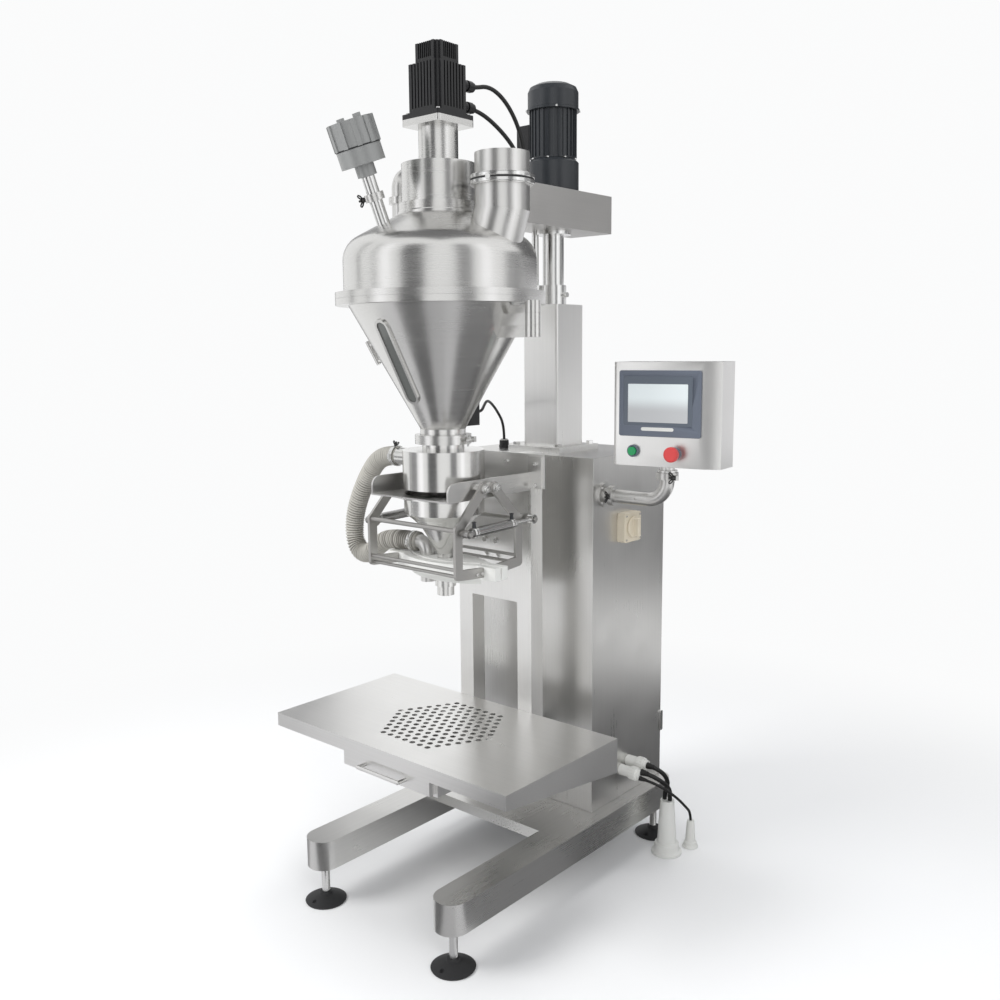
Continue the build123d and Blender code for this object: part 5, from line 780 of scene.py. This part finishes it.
def add_skin(shape, points, radii, sides):
    """A round skin on a line of points, with a radius in millimetres at each. Gives its rings."""
    across = None
    rings = []
    for i, point in enumerate(points):
        ahead = (points[min(i + 1, len(points) - 1)] - points[max(i - 1, 0)]).normalized()
        across = ahead.orthogonal() if across is None else across - ahead * across.dot(ahead)
        across.normalize()
        other = ahead.cross(across)
        ring = []
        for k in range(sides):
            angle = 2 * math.pi * k / sides
            out = across * math.cos(angle) + other * math.sin(angle)
            ring.append(shape.verts.new(point + out * radii[i] / 1000))
        rings.append(ring)
    for low, high in zip(rings, rings[1:]):
        for k in range(sides):
            j = (k + 1) % sides
            shape.faces.new((low[k], low[j], high[j], high[k]))
    return rings


def add_tube(shape, points, radii, sides=16):
    """A round skin on a line of points, closed at both ends."""
    rings = add_skin(shape, points, radii, sides)
    shape.faces.new(rings[0][::-1])
    shape.faces.new(rings[-1])


def add_bent_pipe(shape, start, corner, end, bend, radius, wall, sides=40):
    """A steel pipe from start to end, bent once round a corner, with open mouths and its real wall."""
    before = (corner - start).normalized()
    after = (end - corner).normalized()
    middle = corner + (after - before) * bend / 1000
    line = [start]
    for step in range(13):
        angle = math.radians(7.5 * step)
        line.append(middle + (before * math.sin(angle) - after * math.cos(angle)) * bend / 1000)
    line.append(end)
    outer = add_skin(shape, line, [radius] * len(line), sides)
    inner = add_skin(shape, line, [radius - wall] * len(line), sides)
    for place in (0, -1):
        for k in range(sides):
            j = (k + 1) % sides
            shape.faces.new((outer[place][k], outer[place][j], inner[place][j], inner[place][k]))


vent_shape = bmesh.new()
vent_shape.from_mesh(nodes["vent_elbow"].data)
bmesh.ops.remove_doubles(vent_shape, verts=vent_shape.verts, dist=SAME_POINT)
VENT = (-136, -4)
VENT_CUT = 1893
VENT_BEND = 1958
bmesh.ops.bisect_plane(
    vent_shape, geom=vent_shape.verts[:] + vent_shape.edges[:] + vent_shape.faces[:],
    plane_co=at(0, 0, VENT_CUT), plane_no=(0, 0, 1), clear_outer=True,
)
bmesh.ops.bridge_loops(vent_shape, edges=[edge for edge in vent_shape.edges if edge.is_boundary])
add_bent_pipe(
    vent_shape, at(*VENT, VENT_CUT), at(*VENT, VENT_BEND), at(VENT[0], VENT[1] + 70, VENT_BEND), 34, 23, 2,
)
bmesh.ops.recalc_face_normals(vent_shape, faces=vent_shape.faces)
vent_mesh = mesh_of(vent_shape, "vent_bend")
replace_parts(finished("vent_bend", vent_mesh, steel_upright, "head"), "vent_elbow")
WING_LINE = ((4, 3), (9, 5), (15, 10), (18, 16), (16, 19), (12, 18), (8, 13), (5, 9))
WING_HUB = ((8, 0), (8, 2), (6.5, 9), (5.5, 10), (3.6, 10), (3.6, 18), (2.8, 19))


def wing_nut(name, point, direction, ear_side, material, body, size=1.0):
    """A wing nut with its screw end, on a point, along a direction, with ears to both sides."""
    axis = Vector(direction).normalized()
    side = Vector(ear_side)
    side = (side - axis * side.dot(axis)).normalized()
    shape = bmesh.new()
    add_turned(shape, point, axis, [(r * size, h * size) for r, h in WING_HUB], 18)
    for ear in (1, -1):
        line = [point + (side * ear * a + axis * b) * size / 1000 for a, b in WING_LINE]
        add_tube(shape, line, [2.4 * size] * len(line), 10)
    finished(name, mesh_of(shape, name), material, body)


INLET = (195, 18)
INLET_LUG = 74.5
INLET_CLAMP = 1911
inlet_screws = []
for lug_angle in (-75, 105):
    a = math.radians(lug_angle)
    lug_x = INLET[0] + INLET_LUG * math.cos(a)
    lug_y = INLET[1] + INLET_LUG * math.sin(a)
    inlet_screws.append((at(lug_x, lug_y, INLET_CLAMP), (math.cos(a), math.sin(a), 0)))
stand_on("inlet_clamp_screws", HEX_HEAD, 6, inlet_screws, bright_bar, "head", 0.9)
for flange_name, flange_foot in (("inlet_flange_lower", 1900), ("inlet_flange_upper", 1913)):
    turned(
        flange_name, at(*INLET, flange_foot), UPWARD,
        [(74, 0), (78, 0), (79, 1), (79, 8), (78, 9), (74, 9)], 64, bright_bar, "head",
    )
# A black rubber gasket sits recessed between the two flanges; its black also paints the shadow in the gap
# between them.
turned(
    "inlet_gasket", at(*INLET, 1909), UPWARD, [(74, 0), (77, 0), (77, 4), (74, 4)], 64, rubber, "head",
)
SENSOR = (-42, -156)
sensor_foot = at(*SENSOR, 1819)
sensor_lean = math.radians(20)
sensor_azimuth = math.atan2(SENSOR[1], SENSOR[0])
sensor_axis = Vector((
    math.sin(sensor_lean) * math.cos(sensor_azimuth),
    math.sin(sensor_lean) * math.sin(sensor_azimuth),
    math.cos(sensor_lean),
))
sensor_side = (Vector((1, 0, 0)) - sensor_axis * sensor_axis.x).normalized()
sensor_front = sensor_axis.cross(sensor_side)
sensor_lug = sensor_foot + sensor_axis * 0.062 - sensor_side * 0.036 - sensor_front * 0.005
turned(
    "sensor_stem_sleeve", sensor_foot, sensor_axis, [(15, -5), (16.5, -5), (16.5, 111), (15, 111)], 40,
    bright_bar, "head",
)
turned(
    "sensor_cover_seal", sensor_foot + sensor_axis * 0.182, sensor_axis,
    [(54, -1.5), (55.7, -1.5), (55.7, 1.5), (54, 1.5)], 56, rubber, "head",
)
black_metal = brushed_steel("blackened_bolt", (0.10, 0.10, 0.10), 0.38, (500, 500, 500), 0.2)
wing_nut("sensor_wing_nut", sensor_lug, -sensor_front, sensor_axis, black_metal, "head", 0.8)
outlet_turn = math.radians(20)
outlet_out = Vector((math.cos(outlet_turn), math.sin(outlet_turn), 0))
outlet_along = Vector((math.sin(outlet_turn), -math.cos(outlet_turn), 0))
outlet_screw = at(0, 0, 1278) + outlet_out * 0.083 + outlet_along * 0.020
wing_nut("outlet_wing_nut", outlet_screw, outlet_along, UPWARD, bright_bar, "head", 0.8)

# Hopper cone: a fixed rear shell and a hinged front door, rolled and polished, with a long sight glass.
# The glass is dark and toughened, held in a raised frame.
cone_steel = spun_steel("steel_polished_cone", STEEL, 0.24, hopper_axis, 0.06)
dress(cone_steel, "hopper_rear_shell", "hopper_door")
glass_material, glass_tree, glass_shader, glass_place = new_material("sight_glass")
glass_shader.inputs["Base Color"].default_value = (0.10, 0.105, 0.10, 1)
glass_shader.inputs["Coat Weight"].default_value = 0.4
glass_haze = scaled(glass_tree, noise(glass_tree, glass_place, 18.0), 0.16, 0.02)
glass_tree.links.new(glass_haze.outputs[0], glass_shader.inputs["Roughness"])
dress(glass_material, "sight_glass")
dress(steel_upright, "auger_screw", "agitator")

# Vibrator on the rear shell, with a cable that hangs from it to a gland in the cabinet's top.
eased("vibrator", 0.003, anodised, "head")


def read_line(line):
    """Points along a smooth line, as its own spline gives them."""
    mesh = settled(line)
    points = [vertex.co.copy() for vertex in mesh.vertices]
    bpy.data.meshes.remove(mesh)
    return points


TOP_GLAND = (-150, 420)
turned(
    "top_gland_nut", at(*TOP_GLAND, 1213), UPWARD,
    [(13, 0), (15.5, 0), (15.5, 7), (14.4, 8), (14.4, 16), (13.8, 23), (10, 26.5), (4, 27)],
    18, cable_sheath, "base",
)
vibrator_route = [
    at(0, 119.1, 1340), at(0, 150, 1340), at(-34, 200, 1354), at(-74, 256, 1364),
    at(-112, 316, 1356), at(-140, 376, 1328), at(*TOP_GLAND, 1284), at(*TOP_GLAND, 1238),
]
vibrator_points = read_line(smooth_line("vibrator_line", vibrator_route, 16))
vibrator_shape = bmesh.new()
add_tube(vibrator_shape, vibrator_points, [4] * len(vibrator_points), 14)
vibrator_mesh = mesh_of(vibrator_shape, "vibrator_lead")
vibrator_mesh.shade_smooth()
vibrator_mesh.materials.append(cable_sheath)
vibrator_lead = placed("vibrator_lead", vibrator_mesh)
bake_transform(vibrator_lead)
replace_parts(vibrator_lead, "vibrator_cable")

# Dust hood and fill tube below the cone, and the bowl, nozzle and white spout that lead into the bag.
# The steel ones are spun or turned, and polished bright. The spout is machined from plastic bar.
hood_steel = spun_steel("steel_polished_hood", (0.74, 0.735, 0.72), 0.20, hopper_axis, 0.05)
dress(hood_steel, "dust_chamber", "fill_tube", "funnel_bowl", "outlet_nozzle")
white_bar = moulded("white_machined_bar", (0.80, 0.80, 0.77), 0.42, 350, 0.0003, 0.03)
eased("spout_block", 0.002, white_bar, "base")

# Suction stub and dust hose: a bent steel stub, and a grey corrugated hose up to the hood's spigot.
# A wire helix under the hose's skin makes its ribs, and a band clamp with a worm screw holds each end.
suction_shape = bmesh.new()
add_bent_pipe(suction_shape, at(-66, 0, 888), at(-66, 0, 992), at(-100, 0, 992), 27, 20, 2)
bmesh.ops.recalc_face_normals(suction_shape, faces=suction_shape.faces)
suction_mesh = mesh_of(suction_shape, "suction_bend")
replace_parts(finished("suction_bend", suction_mesh, steel_upright, "base"), "suction_elbow")
hose_skin = moulded("grey_hose", (0.50, 0.485, 0.445), 0.46, 500, 0.0003, 0.10)
# The valleys between the ribs take a darker grey: painted shade in the creases, over the ribs' own relief.
hose_crease_shade = moulded("grey_hose_crease_shade", (0.20, 0.19, 0.17), 0.55, 500, 0.0003, 0.10)
HOSE_SIDES = 28
HOSE_MIDDLE = 25.0
HOSE_RIB = 2.0
HOSE_PITCH = 8
# Below this radius a face counts as valley and gets the painted shade.
HOSE_SHADE_RADIUS = HOSE_MIDDLE - 0.7
hose_route = [
    at(-100, 0, 992), at(-214, 0, 992), at(-268, 3, 958), at(-312, 6, 928),
    at(-352, 9, 932), at(-376, 10, 968), at(-372, 10, 1034), at(-342, 9, 1102),
    at(-300, 7, 1164), at(-254, 2, 1208), at(-204, 0, 1222), at(-168, 0, 1222),
]
hose_points = read_line(smooth_line("hose_line", hose_route, 64))
hose_radii = []
walked = 0
for here, there in zip([hose_points[0]] + hose_points, hose_points):
    walked += (there - here).length * 1000
    hose_radii.append(HOSE_MIDDLE + HOSE_RIB * math.cos(2 * math.pi * walked / HOSE_PITCH))
hose_shape = bmesh.new()
add_tube(hose_shape, hose_points, hose_radii, HOSE_SIDES)
hose_mesh = mesh_of(hose_shape, "dust_hose_ribbed")
hose_mesh.shade_smooth()
hose_mesh.materials.append(hose_skin)
hose_mesh.materials.append(hose_crease_shade)
# Faces narrower than the shade radius take the darker grey, the painted shade of the valleys.
for polygon in hose_mesh.polygons:
    hose_row = min(polygon.index // HOSE_SIDES, len(hose_radii) - 1)
    polygon.material_index = 1 if hose_radii[hose_row] < HOSE_SHADE_RADIUS else 0
hose = placed("dust_hose_ribbed", hose_mesh)
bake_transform(hose)
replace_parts(hose, "dust_hose")
WORM_SCREW = [(3.5, 0), (5, 0.5), (5, 15), (3.5, 16)]
HOSE_BAND = [(26.0, -6), (28.2, -6), (28.6, -5), (28.6, 5), (28.2, 6), (26.0, 6)]
for band_name, band_at, band_body in (
    ("hose_band_lower", at(-116, 0, 992), "base"),
    ("hose_band_upper", at(-178, 0, 1222), "head"),
):
    band = bmesh.new()
    add_turned(band, band_at, (1, 0, 0), HOSE_BAND, 36)
    add_turned(band, band_at + Vector((0, -0.030, 0.008)), (0, 0, -1), WORM_SCREW, 12)
    finished(band_name, mesh_of(band, band_name), bright_bar, band_body)
wing_nut("hose_wing_nut", at(-178, -4, 1250), (0, 0.3, 1), (0, 1, 0), black_metal, "head", 0.6)

# Weighing side: a folded platform with drain holes on welded posts, with a drawer and a hidden load cell.
# The sheet is brushed across, and the posts upright.
dress(steel_along_x, "platform", "clamp_mount_plate")
eased("dust_drawer", 0.0008, steel_along_x, "drawer")
dress(steel_upright_pale, "weigh_frame")
dress(cast_aluminium, "load_cell")
stand_on(
    "mount_plate_screws", SOCKET_SCREW, 18,
    [(at(x, 186, z), (0, -1, 0)) for x in (-160, 160) for z in (1147, 1204)]
    + [(at(x, 192, 1205), (0, -1, 0)) for x in (-54, 54)],
    bright_bar, "base", 1.2,
)
stand_on(
    "cross_plate_bolts", HEX_HEAD, 6,
    [(at(x, 197, z), (0, -1, 0)) for x in (-31, 10) for z in (932, 978)],
    bright_bar, "base", 1.1,
)

# Bag clamp: a bent flat frame with four pivot pins, two jaws of thick flat bar and bowed white grip bars.
# Two small air cylinders push the jaws apart. Their ports carry black push-in fittings.
eased("clamp_frame", 0.001, steel_along_y, "base")
jaw_steel = brushed_steel("steel_jaw_bars", (0.50, 0.49, 0.475), 0.38, (900, 300, 300))
eased("front_jaw", 0.0012, jaw_steel, "front_jaw")
eased("rear_jaw", 0.0012, jaw_steel, "rear_jaw")
eased("front_grip_bar", 0.002, white_bar, "front_jaw")
eased("rear_grip_bar", 0.002, white_bar, "rear_jaw")
barrel_steel = brushed_steel("steel_cylinder_tube", (0.42, 0.415, 0.41), 0.22, (500, 9, 500), 0.05)
dress(barrel_steel, "cylinder_barrels")
dress(bright_bar, "cylinder_rods")
stand_on(
    "pivot_screws", SOCKET_SCREW, 18,
    [(at(165.3 * side, y, 1159), (side, 0, 0)) for side in (-1, 1) for y in (-21, 21)],
    bright_bar, "base", 1.8,
)
for jaw_body, jaw_side in (("front_jaw", -1), ("rear_jaw", 1)):
    stand_on(
        jaw_body + "_toe_screws", SOCKET_SCREW, 18,
        [(at(160 * x, jaw_side * y, 944), (x, 0, 0)) for x in (-1, 1) for y in (34, 52)],
        bright_bar, jaw_body, 0.85,
    )
cylinder_tilt = math.atan2(6, 253)
cylinder_along = Vector((0, math.cos(cylinder_tilt), math.sin(cylinder_tilt)))
cylinder_up = Vector((0, -math.sin(cylinder_tilt), math.cos(cylinder_tilt)))
CYLINDER_FOOT = (177, -104, 1057)


def on_cylinder(side, along):
    """A point on a cylinder's axis, from its side of the machine and metres from its front eye."""
    return at(CYLINDER_FOOT[0] * side, CYLINDER_FOOT[1], CYLINDER_FOOT[2]) + cylinder_along * along


PORT_BODY = [(4.8, 4), (4.8, 12), (5.8, 12.6), (5.8, 15), (3.4, 15.4), (3.2, 13)]
CYLINDER_CAP = [
    (12, 0), (13.2, 0.4), (13.5, 1), (13.5, 6), (12.8, 6.4), (12.8, 9), (13.5, 9.4), (13.5, 15), (12, 16),
]
port_shape = bmesh.new()
cap_shape = bmesh.new()
for cylinder_side in (-1, 1):
    for port_at in (0.026, 0.170):
        port = on_cylinder(cylinder_side, port_at) + cylinder_up * 0.0125
        add_turned(port_shape, port, cylinder_up, [(6, 0), (6, 4.5), (5, 5)], 6)
        add_turned(port_shape, port, cylinder_up, PORT_BODY, 18)
    for cap_at in (0.019, 0.161):
        add_turned(cap_shape, on_cylinder(cylinder_side, cap_at), cylinder_along, CYLINDER_CAP, 32)
finished("cylinder_caps", mesh_of(cap_shape, "cylinder_caps"), bright_bar, "cylinder_barrels")
black_case = moulded("black_moulding", (0.03, 0.032, 0.035), 0.35, 600, 0.0002)
finished("cylinder_fittings", mesh_of(port_shape, "cylinder_fittings"), black_case, "cylinder_barrels")

# Operator panel: a sheet housing that swivels on a bent pipe, with a display and two push buttons.
# The display has a slate bezel round a dark window, and its screen is lit pale grey.
panel_steel = brushed_steel("steel_panel_fine", PALE_STEEL, 0.34, (900, 900, 12), 0.04)
eased("panel_housing", 0.0012, panel_steel, "panel")
dress(steel_upright, "panel_pipe")
slate_case = moulded("slate_moulding", (0.13, 0.15, 0.19), 0.42, 600, 0.0002)
eased("panel_display", 0.0012, slate_case, "panel")
panel_turn = math.radians(7.5)
PANEL_AXIS = (446, 385)
FLANGE_Y = 385
FLANGE_Z = 1107


def on_panel(x, y, z):
    """A point from the panel's own front view: across, in depth and in height, in millimetres."""
    across = x * math.cos(panel_turn) - y * math.sin(panel_turn)
    deep = x * math.sin(panel_turn) + y * math.cos(panel_turn)
    return at(PANEL_AXIS[0] + across, PANEL_AXIS[1] + deep, z)


def panel_tile(name, centre, size, corner, front, back, material):
    """A thin tile with rounded corners on the panel's front, between two depths."""
    outline = []
    for cx, cz, start in ((1, 1, 0), (-1, 1, 90), (-1, -1, 180), (1, -1, 270)):
        for step in range(7):
            a = math.radians(start + 15 * step)
            outline.append((
                centre[0] + cx * (size[0] / 2 - corner) + corner * math.cos(a),
                centre[1] + cz * (size[1] / 2 - corner) + corner * math.sin(a),
            ))
    shape = bmesh.new()
    near = [shape.verts.new(on_panel(x, front, z)) for x, z in outline]
    far = [shape.verts.new(on_panel(x, back, z)) for x, z in outline]
    shape.faces.new(near)
    shape.faces.new(far[::-1])
    for i in range(len(near)):
        j = (i + 1) % len(near)
        shape.faces.new((near[i], far[i], far[j], near[j]))
    bmesh.ops.recalc_face_normals(shape, faces=shape.faces)
    finished(name, mesh_of(shape, name), material, "panel")


window_glass = moulded("dark_window", (0.10, 0.12, 0.15), 0.20, 900, 0.00005, 0.04)
panel_tile("display_window", (2.5, 1374), (190, 126), 4, -75.3, -74.5, window_glass)
screen_material, screen_tree, screen_shader, screen_place = new_material("pale_screen")
screen_shader.inputs["Roughness"].default_value = 0.22
screen_parts = screen_tree.nodes.new("ShaderNodeSeparateXYZ")
screen_tree.links.new(screen_place, screen_parts.inputs[0])
screen_band = screen_tree.nodes.new("ShaderNodeMapRange")
screen_band.interpolation_type = "SMOOTHSTEP"
screen_band.inputs["From Min"].default_value = 1.345
screen_band.inputs["From Max"].default_value = 1.385
screen_tree.links.new(screen_parts.outputs["Z"], screen_band.inputs["Value"])
screen_shade = screen_tree.nodes.new("ShaderNodeMix")
screen_shade.data_type = "RGBA"
screen_shade.inputs["A"].default_value = (0.52, 0.53, 0.54, 1)
screen_shade.inputs["B"].default_value = (0.80, 0.86, 0.87, 1)
screen_tree.links.new(screen_band.outputs["Result"], screen_shade.inputs["Factor"])
screen_tree.links.new(screen_shade.outputs["Result"], screen_shader.inputs["Base Color"])
panel_tile("display_screen", (2.5, 1368), (165, 98), 2, -75.6, -75.1, screen_material)
panel_tile("display_bare_strip", (2.5, 1302), (90, 9), 4.4, -75.4, -74.6, white_case)
green_case = moulded("green_moulding", (0.015, 0.30, 0.10), 0.30, 500, 0.0001)
red_case = moulded("red_moulding", (0.62, 0.06, 0.06), 0.32, 500, 0.0001)
eased("start_button", 0.0008, green_case, "start_button")
eased("stop_button", 0.0008, red_case, "stop_button")
swivel_turn = math.radians(-35)
swivel_out = Vector((math.cos(swivel_turn), math.sin(swivel_turn), 0))
swivel_side = Vector((swivel_out.y, -swivel_out.x, 0))
wing_nut(
    "swivel_wing_nut", at(*PANEL_AXIS, 1175) + swivel_out * 0.053 + swivel_side * 0.004, swivel_side,
    UPWARD, black_metal, "base", 0.8,
)
wing_nut(
    "wall_wing_nut", at(276, FLANGE_Y, FLANGE_Z) + Vector((0, -0.027, 0)), (0, -1, 0),
    UPWARD, black_metal, "base", 0.8,
)
FLANGE_RING = 29
stand_on(
    "pipe_flange_screws", SOCKET_SCREW, 18,
    [
        (at(253, FLANGE_Y + FLANGE_RING * math.cos(a), FLANGE_Z + FLANGE_RING * math.sin(a)), (1, 0, 0))
        for a in (math.radians(45 + 90 * i) for i in range(4))
    ],
    bright_bar, "base", 0.8,
)
